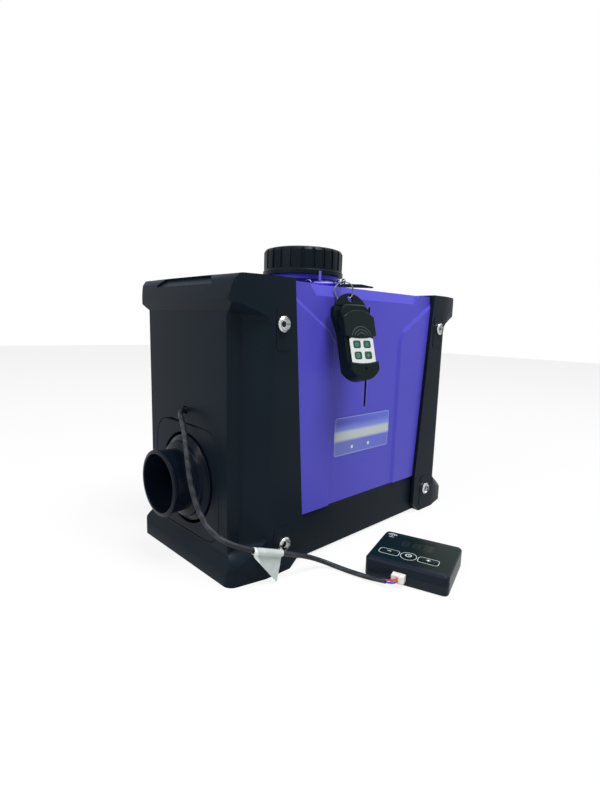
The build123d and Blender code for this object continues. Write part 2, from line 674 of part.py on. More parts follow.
# ---------------------------------------------------------------- base tray
with BuildPart() as base_tray:
    with BuildSketch(Plane.XY.offset(TRAY_RAISE)):
        Rectangle(2 * TANK_HALF_LENGTH, 2 * TRAY_Y)
    extrude(amount=TRAY_HEIGHT - TRAY_RAISE)
    fillet(edges().filter_by(Axis.Z), radius=5)
    # The belly drops to the floor, and runs out at the rear under the two stubs.
    with BuildSketch(Plane.XY):
        with Locations((0, (TRAY_Y - BELLY_FRONT) / 2)):
            RectangleRounded(BELLY_LENGTH, TRAY_Y + BELLY_FRONT, 4)
    extrude(amount=TRAY_RAISE)
    with BuildSketch(Plane.XY.offset(TRAY_RAISE + TRAY_WALL)):
        Rectangle(2 * (TANK_HALF_LENGTH - TRAY_WALL), 2 * (TRAY_Y - TRAY_WALL))
    extrude(amount=TRAY_HEIGHT, mode=Mode.SUBTRACT)
    with BuildSketch(Plane.XY.offset(TRAY_WALL)):
        with Locations((0, (TRAY_Y - BELLY_FRONT) / 2)):
            RectangleRounded(
                BELLY_LENGTH - 2 * TRAY_WALL, TRAY_Y + BELLY_FRONT - 2 * TRAY_WALL, 3
            )
    extrude(amount=TRAY_HEIGHT, mode=Mode.SUBTRACT)
    # Bosses for the lower screws.
    for side in (1, -1):
        for x in (LOW_SCREW[0], -LOW_SCREW[0]):
            with BuildSketch(Plane.XZ.offset(side * (TRAY_Y - 1))):
                with Locations((x, LOW_SCREW[1])):
                    Circle(BOSS_RADIUS)
            extrude(amount=-side * SCREW_LENGTH)
            with BuildSketch(Plane.XZ.offset(side * TRAY_Y)):
                with Locations((x, LOW_SCREW[1])):
                    Circle(SCREW_RADIUS + SCREW_HOLE_GAP)
            extrude(amount=-side * (SCREW_LENGTH - CAP_WALL), mode=Mode.SUBTRACT)
    # Room for the stubs in the rear wall, and for the inlet duct in the end wall.
    with BuildSketch(Plane.XZ.offset(-TRAY_Y - 1)):
        with Locations((EXHAUST_X, STUB_Z), (INTAKE_X, STUB_Z)):
            Circle(STUB_RADIUS - STUB_STEP + FIT)
    extrude(amount=TRAY_WALL + 2, mode=Mode.SUBTRACT)
    with BuildSketch(Plane.YZ.offset(TANK_HALF_LENGTH + 1)):
        with Locations((0, DUCT_Z)):
            Circle(FAN_RADIUS + 3)
    extrude(amount=-TRAY_WALL - 2, mode=Mode.SUBTRACT)
base_tray.part.label = "base_tray"

# ---------------------------------------------------------------- filler cap and tie
CAP_SKIRT = THREAD_RADIUS + CAP_CLEARANCE

with BuildPart() as fuel_cap:
    with BuildSketch(Plane.XZ):
        with BuildLine():
            Polyline(
                (NECK_X, CAP_TOP_Z),
                (NECK_X + CAP_RADIUS - CAP_CROWN[0], CAP_TOP_Z),
                (NECK_X + CAP_RADIUS - CAP_SHOULDER[0], CAP_TOP_Z - CAP_SHOULDER[1]),
                (NECK_X + CAP_RADIUS, CAP_TOP_Z - CAP_CROWN[1]),
                (NECK_X + CAP_RADIUS, CAP_LOW_Z + CAP_RIM_HEIGHT + CAP_RIM),
                (NECK_X + CAP_RADIUS + CAP_RIM, CAP_LOW_Z + CAP_RIM_HEIGHT),
                (NECK_X + CAP_RADIUS + CAP_RIM, CAP_LOW_Z),
                (NECK_X + CAP_SKIRT, CAP_LOW_Z),
                (NECK_X + CAP_SKIRT, CAP_TOP_Z - CAP_ROOF),
                (NECK_X, CAP_TOP_Z - CAP_ROOF),
                close=True,
            )
        make_face()
    revolve(axis=Axis((NECK_X, 0, 0), (0, 0, 1)))
    # Narrow grooves leave broad grip ribs between them.
    with BuildSketch(Plane.XY.offset(CAP_LOW_Z + CAP_RIM_HEIGHT + 2 * CAP_RIM)):
        with Locations((NECK_X, 0)):
            with PolarLocations(CAP_RADIUS, CAP_RIBS):
                Rectangle(2 * CAP_GROOVE[0], CAP_GROOVE[1])
    extrude(amount=CAP_TOP_Z - CAP_LOW_Z, mode=Mode.SUBTRACT)
fuel_cap.part.label = "fuel_cap"

with BuildPart() as cap_seal:
    with Locations((NECK_X, 0, CAP_TOP_Z - CAP_ROOF - SEAL_GAP)):
        Cylinder(THREAD_RADIUS - SEAL_INSET, SEAL_THICK, align=(Align.CENTER, Align.CENTER, Align.MAX))
cap_seal.part.label = "cap_seal"

TIE_Y = -(TIE_INNER - NECK_RADIUS - TIE_TOUCH)     # the slack loop reaches the neck at the rear
TIE_HEAD_X = NECK_X + TIE_HEAD_SHIFT
TIE_HEAD_Y = TIE_Y - math.sqrt((TIE_INNER + TIE_THICK) ** 2 - TIE_HEAD_SHIFT**2)
with BuildPart() as zip_tie:
    with BuildSketch(Plane.XY.offset(TIE_Z - TIE_WIDTH / 2)):
        with Locations((NECK_X, TIE_Y)):
            Circle(TIE_INNER + TIE_THICK)
            Circle(TIE_INNER, mode=Mode.SUBTRACT)
    extrude(amount=TIE_WIDTH)
    with BuildSketch(Plane.XY.offset(TIE_Z - TIE_WIDTH / 2 - TIE_HEAD[2])):
        with Locations((TIE_HEAD_X, TIE_HEAD_Y - TIE_HEAD[1] / 2 + TIE_THICK)):
            RectangleRounded(TIE_HEAD[0], TIE_HEAD[1], 1)
    extrude(amount=TIE_WIDTH + 2 * TIE_HEAD[2])
    # The free end runs on past the head, and narrows to its tip.
    with BuildSketch(Plane.XZ.offset(-TIE_HEAD_Y + TIE_THICK)):
        with BuildLine():
            Polyline(
                (TIE_HEAD_X, TIE_Z + TIE_TAIL_RISE[0] - TIE_WIDTH / 2),
                (TIE_TAIL_END_X - TIE_TIP[0], TIE_Z + TIE_TAIL_RISE[1] - TIE_WIDTH / 2),
                (TIE_TAIL_END_X, TIE_Z + TIE_TAIL_RISE[1] - TIE_TIP[1]),
                (TIE_TAIL_END_X, TIE_Z + TIE_TAIL_RISE[1] + TIE_TIP[1]),
                (TIE_TAIL_END_X - TIE_TIP[0], TIE_Z + TIE_TAIL_RISE[1] + TIE_WIDTH / 2),
                (TIE_HEAD_X, TIE_Z + TIE_TAIL_RISE[0] + TIE_WIDTH / 2),
                close=True,
            )
        make_face()
    extrude(amount=TIE_THICK)
zip_tie.part.label = "zip_tie"

# ---------------------------------------------------------------- warm-air outlet
with BuildPart() as outlet_plate:
    with BuildSketch(left_face.offset(-PLATE_THICK)):
        RectangleRounded(
            PLATE_WIDTH - 2 * PLATE_SEAM, PLATE_HEIGHT - 2 * PLATE_SEAM, PLATE_ROUND - PLATE_SEAM
        )
        Circle(PLATE_HOLE, mode=Mode.SUBTRACT)
    extrude(amount=PLATE_THICK)
    chamfer(faces().sort_by(Axis.X)[0].edges(), length=0.5)
outlet_plate.part.label = "outlet_plate"

with BuildPart() as outlet_spigot:
    with BuildSketch(Plane.XZ):
        with BuildLine():
            Polyline(
                (DUCT_MOUTH_X, DUCT_Z + DUCT_BORE + MOUTH_LIP),
                (DUCT_MOUTH_X + BEAD_AT[0], DUCT_Z + DUCT_BEAD),
                (DUCT_MOUTH_X + BEAD_AT[1], DUCT_Z + DUCT_BEAD),
                (DUCT_MOUTH_X + BEAD_AT[2], DUCT_Z + DUCT_RADIUS),
                (-NOSE_X - STEP_AT[0], DUCT_Z + DUCT_RADIUS),
                (-NOSE_X - STEP_AT[1], DUCT_Z + DUCT_SHOULDER),
                (-NOSE_X - STEP_AT[2], DUCT_Z + DUCT_SHOULDER + MOUTH_LIP),
                (-NOSE_X - STEP_AT[3], DUCT_Z + DUCT_COLLAR - COLLAR_BEVEL),
                (-NOSE_X, DUCT_Z + DUCT_COLLAR),
                (DUCT_BACK_X, DUCT_Z + DUCT_COLLAR),
                (DUCT_BACK_X, DUCT_Z + DUCT_BORE),
                (DUCT_MOUTH_X + MOUTH_LIP, DUCT_Z + DUCT_BORE),
                close=True,
            )
        make_face()
    revolve(axis=Axis((0, 0, DUCT_Z), (1, 0, 0)))
outlet_spigot.part.label = "outlet_spigot"

with BuildPart() as outlet_duct:
    with BuildSketch(Plane.YZ.offset(-JACKET_END_X)):
        with Locations((0, DUCT_Z)):
            RectangleRounded(JACKET_WIDTH, JACKET_HEIGHT, JACKET_ROUND)
    extrude(amount=-DUCT_FLANGE)
    with BuildSketch(Plane.YZ.offset(DUCT_BACK_X)):
        with Locations((0, DUCT_Z)):
            Circle(DUCT_BORE + INLET_WALL)
    extrude(amount=-JACKET_END_X - DUCT_BACK_X)
    with BuildSketch(Plane.YZ.offset(DUCT_BACK_X)):
        with Locations((0, DUCT_Z)):
            Circle(DUCT_BORE)
    extrude(amount=-JACKET_END_X - DUCT_BACK_X, mode=Mode.SUBTRACT)
outlet_duct.part.label = "outlet_duct"

# ---------------------------------------------------------------- fresh-air inlet
with BuildPart() as inlet_grille:
    ring_pitch = (PLATE_HOLE - GRILLE_HUB) / GRILLE_RINGS
    with BuildSketch(right_face.offset(-PLATE_THICK)):
        RectangleRounded(
            PLATE_WIDTH - 2 * PLATE_SEAM, PLATE_HEIGHT - 2 * PLATE_SEAM, PLATE_ROUND - PLATE_SEAM
        )
        # Working inwards, each round opening is cut and the next bar is put back.
        for i in range(GRILLE_RINGS):
            outer = PLATE_HOLE - i * ring_pitch
            Circle(outer, mode=Mode.SUBTRACT)
            Circle(outer - ring_pitch + GRILLE_BAR)
        with PolarLocations((GRILLE_HUB + PLATE_HOLE) / 2, GRILLE_SPOKES):
            Rectangle(PLATE_HOLE - GRILLE_HUB + GRILLE_BAR, GRILLE_BAR)
    extrude(amount=PLATE_THICK)
inlet_grille.part.label = "inlet_grille"

with BuildPart() as inlet_duct:
    with BuildSketch(Plane.YZ.offset(JACKET_END_X)):
        with Locations((0, DUCT_Z)):
            RectangleRounded(JACKET_WIDTH, JACKET_HEIGHT, JACKET_ROUND)
    extrude(amount=DUCT_FLANGE)
    with BuildSketch(Plane.YZ.offset(JACKET_END_X)):
        with Locations((0, DUCT_Z)):
            Circle(INLET_RADIUS)
    extrude(amount=NOSE_INNER_X - JACKET_END_X)
    with BuildSketch(Plane.YZ.offset(JACKET_END_X)):
        with Locations((0, DUCT_Z)):
            Circle(INLET_RADIUS - INLET_WALL)
    extrude(amount=NOSE_INNER_X - JACKET_END_X, mode=Mode.SUBTRACT)
inlet_duct.part.label = "inlet_duct"


# ---------------------------------------------------------------- heater core
def jacket_half(z_low, z_high):
    """One half of the plastic air jacket round the core, between two heights."""
    with BuildPart() as half:
        with BuildSketch(Plane.YZ.offset(-JACKET_END_X)):
            with Locations((0, DUCT_Z)):
                RectangleRounded(JACKET_WIDTH, JACKET_HEIGHT, JACKET_ROUND)
                RectangleRounded(
                    JACKET_WIDTH - 2 * JACKET_WALL,
                    JACKET_HEIGHT - 2 * JACKET_WALL,
                    JACKET_ROUND - JACKET_WALL,
                    mode=Mode.SUBTRACT,
                )
        extrude(amount=JACKET_LENGTH)
        with BuildSketch(Plane.XZ):
            with Locations((0, (z_low + z_high) / 2)):
                Rectangle(JACKET_LENGTH, z_high - z_low)
        extrude(amount=JACKET_WIDTH, both=True, mode=Mode.INTERSECT)
    return half.part


with BuildPart() as jacket_lower:
    add(jacket_half(JACKET_LOW_Z, DUCT_Z))
    with Locations((EXHAUST_X, 0, JACKET_LOW_Z), (INTAKE_X, 0, JACKET_LOW_Z)):
        Cylinder(ELBOW_RADIUS + FIT, 3 * JACKET_WALL, mode=Mode.SUBTRACT)
jacket_lower.part.label = "jacket_lower"

with BuildPart() as jacket_upper:
    add(jacket_half(DUCT_Z, JACKET_HIGH_Z))
    with Locations((INJECT_X, 0, JACKET_HIGH_Z)):
        Cylinder(FUEL_LINE_RADIUS + FIT, 3 * JACKET_WALL, mode=Mode.SUBTRACT)
jacket_upper.part.label = "jacket_upper"

with BuildPart() as heat_exchanger:
    with BuildSketch(Plane.YZ.offset(EXCHANGER_LOW_X)):
        with Locations((0, DUCT_Z)):
            Circle(EXCHANGER_RADIUS)
    extrude(amount=EXCHANGER_HIGH_X - EXCHANGER_LOW_X)
    with BuildSketch(Plane.YZ.offset(EXCHANGER_LOW_X + 4)):
        with Locations((0, DUCT_Z)):
            with PolarLocations((EXCHANGER_RADIUS + FIN_RADIUS) / 2 - 1, FIN_COUNT, start_angle=10):
                Rectangle(FIN_RADIUS - EXCHANGER_RADIUS + 2, FIN_THICK)
    extrude(amount=EXCHANGER_HIGH_X - EXCHANGER_LOW_X - 12)
    # The exhaust leaves through the underside.
    with BuildSketch(Plane.XY.offset(JACKET_LOW_Z)):
        with Locations((EXHAUST_X, 0)):
            Circle(ELBOW_RADIUS)
    extrude(amount=JACKET_HEIGHT / 2 - EXCHANGER_RADIUS + 4)
    with BuildSketch(Plane.YZ.offset(EXCHANGER_HIGH_X)):
        with Locations((0, DUCT_Z)):
            Circle(EXCHANGER_BORE)
    extrude(amount=-(EXCHANGER_HIGH_X - EXCHANGER_LOW_X - 5), mode=Mode.SUBTRACT)
    with BuildSketch(Plane.XY.offset(JACKET_LOW_Z)):
        with Locations((EXHAUST_X, 0)):
            Circle(STUB_RADIUS - STUB_WALL)
    extrude(amount=JACKET_HEIGHT / 2 - EXCHANGER_BORE + 4, mode=Mode.SUBTRACT)
heat_exchanger.part.label = "heat_exchanger"

with BuildPart() as burner_tube:
    with BuildSketch(Plane.YZ.offset(EXCHANGER_HIGH_X)):
        with Locations((0, DUCT_Z)):
            Circle(EXCHANGER_BORE - FIT)
    extrude(amount=-3)
    with BuildSketch(Plane.YZ.offset(EXCHANGER_HIGH_X)):
        with Locations((0, DUCT_Z)):
            Circle(BURNER_RADIUS)
    extrude(amount=-(EXCHANGER_HIGH_X - EXCHANGER_LOW_X) * 0.7)
    with BuildSketch(Plane.YZ.offset(EXCHANGER_HIGH_X - 6)):
        with Locations((0, DUCT_Z)):
            Circle(BURNER_RADIUS - 2)
    extrude(amount=-(EXCHANGER_HIGH_X - EXCHANGER_LOW_X), mode=Mode.SUBTRACT)
burner_tube.part.label = "burner_tube"

with BuildPart() as burner_housing:
    with BuildSketch(Plane.YZ.offset(EXCHANGER_HIGH_X)):
        with Locations((0, DUCT_Z)):
            Circle(HOUSING_RADIUS)
    extrude(amount=HOUSING_LENGTH)
    with BuildSketch(Plane.XY.offset(JACKET_LOW_Z)):
        with Locations((INTAKE_X, 0)):
            Circle(ELBOW_RADIUS)
    extrude(amount=JACKET_HEIGHT / 2 - HOUSING_RADIUS + 4)
    with BuildSketch(Plane.YZ.offset(EXCHANGER_HIGH_X + HOUSING_WALL)):
        with Locations((0, DUCT_Z)):
            Circle(HOUSING_RADIUS - HOUSING_WALL)
    extrude(amount=HOUSING_LENGTH - 2 * HOUSING_WALL, mode=Mode.SUBTRACT)
    with BuildSketch(Plane.XY.offset(JACKET_LOW_Z)):
        with Locations((INTAKE_X, 0)):
            Circle(STUB_RADIUS - STUB_WALL)
    extrude(amount=JACKET_HEIGHT / 2 - HOUSING_RADIUS + 8, mode=Mode.SUBTRACT)
    with BuildSketch(Plane.YZ.offset(HOUSING_END_X)):
        with Locations((0, DUCT_Z)):
            Circle(SHAFT_RADIUS + SHAFT_GAP)
    extrude(amount=-2 * HOUSING_WALL, mode=Mode.SUBTRACT)
burner_housing.part.label = "burner_housing"

MOTOR_END_X = HOUSING_END_X + MOTOR_LENGTH
with BuildPart() as blower_motor:
    with BuildSketch(Plane.YZ.offset(HOUSING_END_X)):
        with Locations((0, DUCT_Z)):
            Circle(MOTOR_RADIUS)
    extrude(amount=MOTOR_LENGTH)
    chamfer(edges().filter_by(GeomType.CIRCLE).group_by(Axis.X)[-1], length=3)
    with BuildSketch(Plane.YZ.offset(HOUSING_END_X)):
        with Locations((0, DUCT_Z)):
            Circle(SHAFT_RADIUS + SHAFT_GAP)
    extrude(amount=MOTOR_LENGTH, mode=Mode.SUBTRACT)
blower_motor.part.label = "blower_motor"

FAN_LOW_X = MOTOR_END_X + FAN_GAP
SHAFT_LOW_X = EXCHANGER_HIGH_X + HOUSING_WALL + 2 * IMPELLER_GAP
with BuildPart() as motor_shaft:
    with BuildSketch(Plane.YZ.offset(SHAFT_LOW_X)):
        with Locations((0, DUCT_Z)):
            Circle(SHAFT_RADIUS)
    extrude(amount=FAN_LOW_X + FAN_LENGTH - SHAFT_LOW_X)
motor_shaft.part.label = "motor_shaft"

IMPELLER_LOW_X = SHAFT_LOW_X + IMPELLER_GAP
IMPELLER_LENGTH = HOUSING_LENGTH - 2 * HOUSING_WALL - 5 * IMPELLER_GAP
with BuildPart() as combustion_impeller:
    with BuildSketch(Plane.YZ.offset(IMPELLER_LOW_X)):
        with Locations((0, DUCT_Z)):
            Circle(IMPELLER_RADIUS)
    extrude(amount=IMPELLER_PLATE)
    with BuildSketch(Plane.YZ.offset(IMPELLER_LOW_X)):
        with Locations((0, DUCT_Z)):
            Circle(HUB_RADIUS)
    extrude(amount=IMPELLER_LENGTH)
    with BuildSketch(Plane.YZ.offset(IMPELLER_LOW_X)):
        with Locations((0, DUCT_Z)):
            with PolarLocations(IMPELLER_RADIUS * 0.68, IMPELLER_BLADES):
                Rectangle(IMPELLER_RADIUS * 0.6, IMPELLER_BLADE_THICK, rotation=25)
    extrude(amount=IMPELLER_LENGTH * 0.7)
    with BuildSketch(Plane.YZ.offset(SHAFT_LOW_X)):
        with Locations((0, DUCT_Z)):
            Circle(SHAFT_RADIUS + HUB_GAP)
    extrude(amount=HOUSING_LENGTH, mode=Mode.SUBTRACT)
combustion_impeller.part.label = "combustion_impeller"

with BuildPart() as fan_wheel:
    with BuildSketch(Plane.YZ.offset(FAN_LOW_X)):
        with Locations((0, DUCT_Z)):
            Circle(FAN_HUB)
    extrude(amount=FAN_LENGTH)
    fillet(edges().filter_by(GeomType.CIRCLE).group_by(Axis.X)[-1], radius=4)
    # Each blade is lofted from the hub to the tip, and untwists on the way out.
    for i in range(FAN_BLADES):
        spoke = Plane(
            origin=(FAN_LOW_X + FAN_LENGTH / 2, 0, DUCT_Z), x_dir=(1, 0, 0), z_dir=(0, 0, 1)
        ).rotated((i * 360 / FAN_BLADES, 0, 0))
        for radius, pitch, chord in (
            (FAN_HUB - FAN_BLADE_THICK, FAN_ROOT_PITCH, FAN_ROOT_CHORD),
            (FAN_RADIUS, FAN_TIP_PITCH, FAN_TIP_CHORD),
        ):
            with BuildSketch(spoke.offset(radius)):
                Rectangle(chord, FAN_BLADE_THICK, rotation=pitch)
        loft(ruled=True)
    with BuildSketch(Plane.YZ.offset(FAN_LOW_X)):
        with Locations((0, DUCT_Z)):
            Circle(FAN_RADIUS)
    extrude(amount=FAN_LENGTH, mode=Mode.INTERSECT)
    with BuildSketch(Plane.YZ.offset(FAN_LOW_X)):
        with Locations((0, DUCT_Z)):
            Circle(SHAFT_RADIUS + HUB_GAP)
    extrude(amount=FAN_LENGTH, mode=Mode.SUBTRACT)
fan_wheel.part.label = "fan_wheel"

with BuildPart() as glow_plug:
    with BuildSketch(Plane.XY.offset(DUCT_Z + HOUSING_RADIUS - 2 * FIT)):
        with Locations((EXCHANGER_HIGH_X + HOUSING_WALL + 4, 0)):
            RegularPolygon(PLUG_HEX, 6)
    extrude(amount=PLUG_HEIGHT)
    with BuildSketch(Plane.XY.offset(DUCT_Z + HOUSING_RADIUS - 2 * FIT)):
        with Locations((EXCHANGER_HIGH_X + HOUSING_WALL + 4, 0)):
            Circle(TERMINAL_RADIUS)
    extrude(amount=TERMINAL_HEIGHT)
    with BuildSketch(Plane.YZ.offset(EXCHANGER_HIGH_X)):
        with Locations((0, DUCT_Z)):
            Circle(HOUSING_RADIUS)
    extrude(amount=HOUSING_LENGTH, mode=Mode.SUBTRACT)
glow_plug.part.label = "glow_plug"

with BuildPart() as mount_block:
    with BuildSketch(Plane.XY.offset(TRAY_WALL)):
        with Locations(((EXHAUST_X + INTAKE_X) / 2, 0)):
            RectangleRounded(INTAKE_X - EXHAUST_X + 2 * ELBOW_RADIUS + 2, 4 * ELBOW_RADIUS, 5)
    extrude(amount=JACKET_LOW_Z - TRAY_WALL)
    for x in (EXHAUST_X, INTAKE_X):
        with BuildSketch(Plane.XY.offset(JACKET_LOW_Z)):
            with Locations((x, 0)):
                Circle(STUB_RADIUS - STUB_WALL)
        extrude(amount=-(JACKET_LOW_Z - STUB_Z), mode=Mode.SUBTRACT)
        with BuildSketch(Plane.XZ):
            with Locations((x, STUB_Z)):
                Circle(STUB_RADIUS - STUB_WALL)
        extrude(amount=-3 * ELBOW_RADIUS, mode=Mode.SUBTRACT)
mount_block.part.label = "mount_block"


def rear_stub(x):
    """A pipe end from the mount block, stepped up just outside the tray's rear wall."""
    with BuildPart() as stub:
        with BuildSketch(Plane.XZ.offset(-2 * ELBOW_RADIUS)):
            with Locations((x, STUB_Z)):
                Circle(STUB_RADIUS - STUB_STEP)
        extrude(amount=-(TRAY_Y + FIT - 2 * ELBOW_RADIUS))
        with BuildSketch(Plane.XZ.offset(-TRAY_Y - FIT)):
            with Locations((x, STUB_Z)):
                Circle(STUB_RADIUS)
        extrude(amount=-STUB_REACH)
        with BuildSketch(Plane.XZ.offset(-2 * ELBOW_RADIUS)):
            with Locations((x, STUB_Z)):
                Circle(STUB_RADIUS - STUB_WALL)
        extrude(amount=-(TRAY_Y + STUB_REACH), mode=Mode.SUBTRACT)
    return stub.part


exhaust_stub = rear_stub(EXHAUST_X)
exhaust_stub.label = "exhaust_stub"
air_intake_stub = rear_stub(INTAKE_X)
air_intake_stub.label = "air_intake_stub"

with BuildPart() as control_board:
    with BuildSketch(Plane.XY.offset(JACKET_HIGH_Z + BOARD_STAND)):
        with Locations((BOARD_X, 0)):
            RectangleRounded(BOARD_LENGTH, BOARD_WIDTH, BOARD_STAND)
    extrude(amount=BOARD_THICK)
    with BuildSketch(Plane.XY.offset(JACKET_HIGH_Z)):
        with Locations((BOARD_X, 0)):
            with GridLocations(BOARD_LENGTH - 4 * POST_RADIUS, BOARD_WIDTH - 4 * POST_RADIUS, 2, 2):
                Circle(POST_RADIUS)
    extrude(amount=BOARD_STAND)
    with BuildSketch(Plane.XY.offset(JACKET_HIGH_Z + BOARD_STAND + BOARD_THICK)):
        with Locations((BOARD_X, 0)):
            with GridLocations(BOARD_LENGTH / 2, BOARD_WIDTH / 2, 2, 2):
                RectangleRounded(CHIP_SIZE[0], CHIP_SIZE[1], 1)
    extrude(amount=CHIP_SIZE[2])
control_board.part.label = "control_board"

# ---------------------------------------------------------------- fuel supply
PUMP_X, PUMP_Y, PUMP_Z = PUMP_AT
with BuildPart() as fuel_pump:
    with Locations(PUMP_AT):
        Cylinder(PUMP_RADIUS, PUMP_LENGTH, align=(Align.CENTER, Align.CENTER, Align.MIN))
    chamfer(edges().filter_by(GeomType.CIRCLE), length=2)
    with Locations((PUMP_X, PUMP_Y, PUMP_Z - PUMP_SPOUT)):
        Cylinder(
            FUEL_LINE_RADIUS,
            PUMP_LENGTH + 2 * PUMP_SPOUT,
            align=(Align.CENTER, Align.CENTER, Align.MIN),
        )
    # The saddle clip ties the pump to the end of the tank.
    with Locations(((PUMP_X - TANK_HALF_LENGTH) / 2, PUMP_Y, PUMP_Z + PUMP_LENGTH / 2)):
        Box(-PUMP_X - TANK_HALF_LENGTH, PUMP_CLIP, PUMP_CLIP)
fuel_pump.part.label = "fuel_pump"

OUTLET_END_X = -TANK_HALF_LENGTH - 2 * OUTLET_NUT
with BuildPart() as tank_outlet:
    with BuildSketch(Plane.YZ.offset(-TANK_HALF_LENGTH)):
        with Locations(OUTLET_AT):
            RegularPolygon(FUEL_LINE_RADIUS + 3, 6)
    extrude(amount=-OUTLET_NUT)
    with BuildSketch(Plane.YZ.offset(-TANK_HALF_LENGTH)):
        with Locations(OUTLET_AT):
            Circle(FUEL_LINE_RADIUS)
    extrude(amount=-2 * OUTLET_NUT)
tank_outlet.part.label = "tank_outlet"


def fuel_hose(*corners):
    """A fuel hose through its corners, each rounded alike."""
    with BuildPart() as hose:
        with BuildLine():
            path = FilletPolyline(*corners, radius=FUEL_BEND)
        with BuildSketch(Plane(origin=path @ 0, z_dir=path % 0)):
            Circle(FUEL_LINE_RADIUS)
        sweep()
    return hose.part


fuel_line = fuel_hose(
    (OUTLET_END_X, OUTLET_AT[0], OUTLET_AT[1]),
    (OUTLET_END_X - FUEL_BEND - 1, OUTLET_AT[0], OUTLET_AT[1]),
    (PUMP_X, PUMP_Y, (OUTLET_AT[1] + PUMP_Z) / 2),
    (PUMP_X, PUMP_Y, PUMP_Z - PUMP_SPOUT),
)
fuel_line.label = "fuel_line"

# From the pump, down the tank's end and along the tunnel's roof to the burner housing.
PUMP_TOP_Z = PUMP_Z + PUMP_LENGTH + PUMP_SPOUT
PUMP_OVER_Z = PUMP_TOP_Z + 2 * FUEL_BEND
FEED_X = -TANK_HALF_LENGTH - 3 * FUEL_LINE_RADIUS
FEED_Y = PUMP_Y + PUMP_RADIUS + FUEL_LINE_RADIUS + 1
FEED_Z = (JACKET_HIGH_Z + TUNNEL_TOP) / 2
fuel_feed = fuel_hose(
    (PUMP_X, PUMP_Y, PUMP_TOP_Z),
    (PUMP_X, PUMP_Y, PUMP_OVER_Z),
    (FEED_X, FEED_Y, PUMP_OVER_Z),
    (FEED_X, FEED_Y, FEED_Z),
    (FEED_X, PUMP_Y, FEED_Z),
    (INJECT_X, PUMP_Y, FEED_Z),
    (INJECT_X, 0, FEED_Z),
    (INJECT_X, 0, DUCT_Z + HOUSING_RADIUS),
)
fuel_feed.label = "fuel_feed"

with BuildPart() as power_gland:
    with BuildSketch(Plane.XZ.offset(-TRAY_Y)):
        with Locations((GLAND_X, TRAY_HEIGHT / 2)):
            RegularPolygon(GLAND_HEX, 6)
    extrude(amount=-GLAND_STEP)
    with BuildSketch(Plane.XZ.offset(-TRAY_Y - GLAND_STEP)):
        with Locations((GLAND_X, TRAY_HEIGHT / 2)):
            Circle(GLAND_BODY)
    extrude(amount=-GLAND_STEP)
    with BuildSketch(Plane.XZ.offset(-TRAY_Y - 2 * GLAND_STEP)):
        with Locations((GLAND_X, TRAY_HEIGHT / 2)):
            Circle(GLAND_BORE)
    extrude(amount=GLAND_STEP, mode=Mode.SUBTRACT)
power_gland.part.label = "power_gland"


# ---------------------------------------------------------------- screws
def button_screw(x, z, side):
    """A low-headed screw with a hexagon socket, seated on its column's pad."""
    seat = side * (FRONT_Y + PAD_RISE)
    with BuildPart() as screw:
        with BuildSketch(Plane.XZ.offset(seat)):
            with Locations((x, z)):
                Circle(SCREW_HEAD_RADIUS)
        extrude(amount=side * SCREW_HEAD_HEIGHT)
        rim = edges().filter_by(GeomType.CIRCLE).sort_by(Axis.Y)[0 if side > 0 else -1]
        chamfer(rim, length=SCREW_CROWN)
        with BuildSketch(Plane.XZ.offset(seat)):
            with Locations((x, z)):
                Circle(SCREW_RADIUS)
        extrude(amount=-side * SCREW_LENGTH)
        with BuildSketch(Plane.XZ.offset(seat + side * SCREW_HEAD_HEIGHT)):
            with Locations((x, z)):
                RegularPolygon(SCREW_HEX, 6, major_radius=False)
        extrude(amount=-side * (SCREW_HEAD_HEIGHT - SOCKET_FLOOR), mode=Mode.SUBTRACT)
    return screw.part


screw_places = [
    (end * x, z, side) for x, z in (HIGH_SCREW, LOW_SCREW) for end in (1, -1) for side in (1, -1)
]
cap_screws = Compound(children=[button_screw(*place) for place in screw_places])
cap_screws.label = "cap_screws"

# ---------------------------------------------------------------- clasp, chain and ring
CHAIN_Z = RING_AT[2] + RING_RADIUS
chain_turn = math.radians(CHAIN_ANGLE)
CHAIN_X_DIR = (math.cos(chain_turn), math.sin(chain_turn))
FIRST_LINK = CLASP_SWIVEL - SWIVEL_WIRE - FIT - LINK_WIRE + LINK_LENGTH / 2
CHAIN_REACH = FIRST_LINK + 2 * LINK_PITCH + LINK_LENGTH / 2 - LINK_WIRE - FIT - RING_WIRE
SWIVEL_X = RING_AT[0] - CHAIN_REACH * CHAIN_X_DIR[0]
SWIVEL_Y = RING_AT[1] - CHAIN_REACH * CHAIN_X_DIR[1]


def chain_link(distance, upright):
    """A flat stadium-shaped link, at a distance along the chain from the swivel."""
    across = (CHAIN_X_DIR[1], -CHAIN_X_DIR[0], 0) if upright else (0, 0, 1)
    middle = Plane(
        origin=(
            SWIVEL_X + distance * CHAIN_X_DIR[0],
            SWIVEL_Y + distance * CHAIN_X_DIR[1],
            CHAIN_Z,
        ),
        x_dir=(CHAIN_X_DIR[0], CHAIN_X_DIR[1], 0),
        z_dir=across,
    )
    with BuildPart() as link:
        with BuildSketch(middle.offset(-LINK_THICK / 2)):
            SlotOverall(LINK_LENGTH, LINK_WIDTH)
            SlotOverall(LINK_LENGTH - 2 * LINK_WIRE, LINK_WIDTH - 2 * LINK_WIRE, mode=Mode.SUBTRACT)
        extrude(amount=LINK_THICK)
    return link.part


chain_links = []
for i in range(3):
    chain_links.append(chain_link(FIRST_LINK + i * LINK_PITCH, upright=i != 1))
    chain_links[-1].label = f"chain_link_{i + 1}"

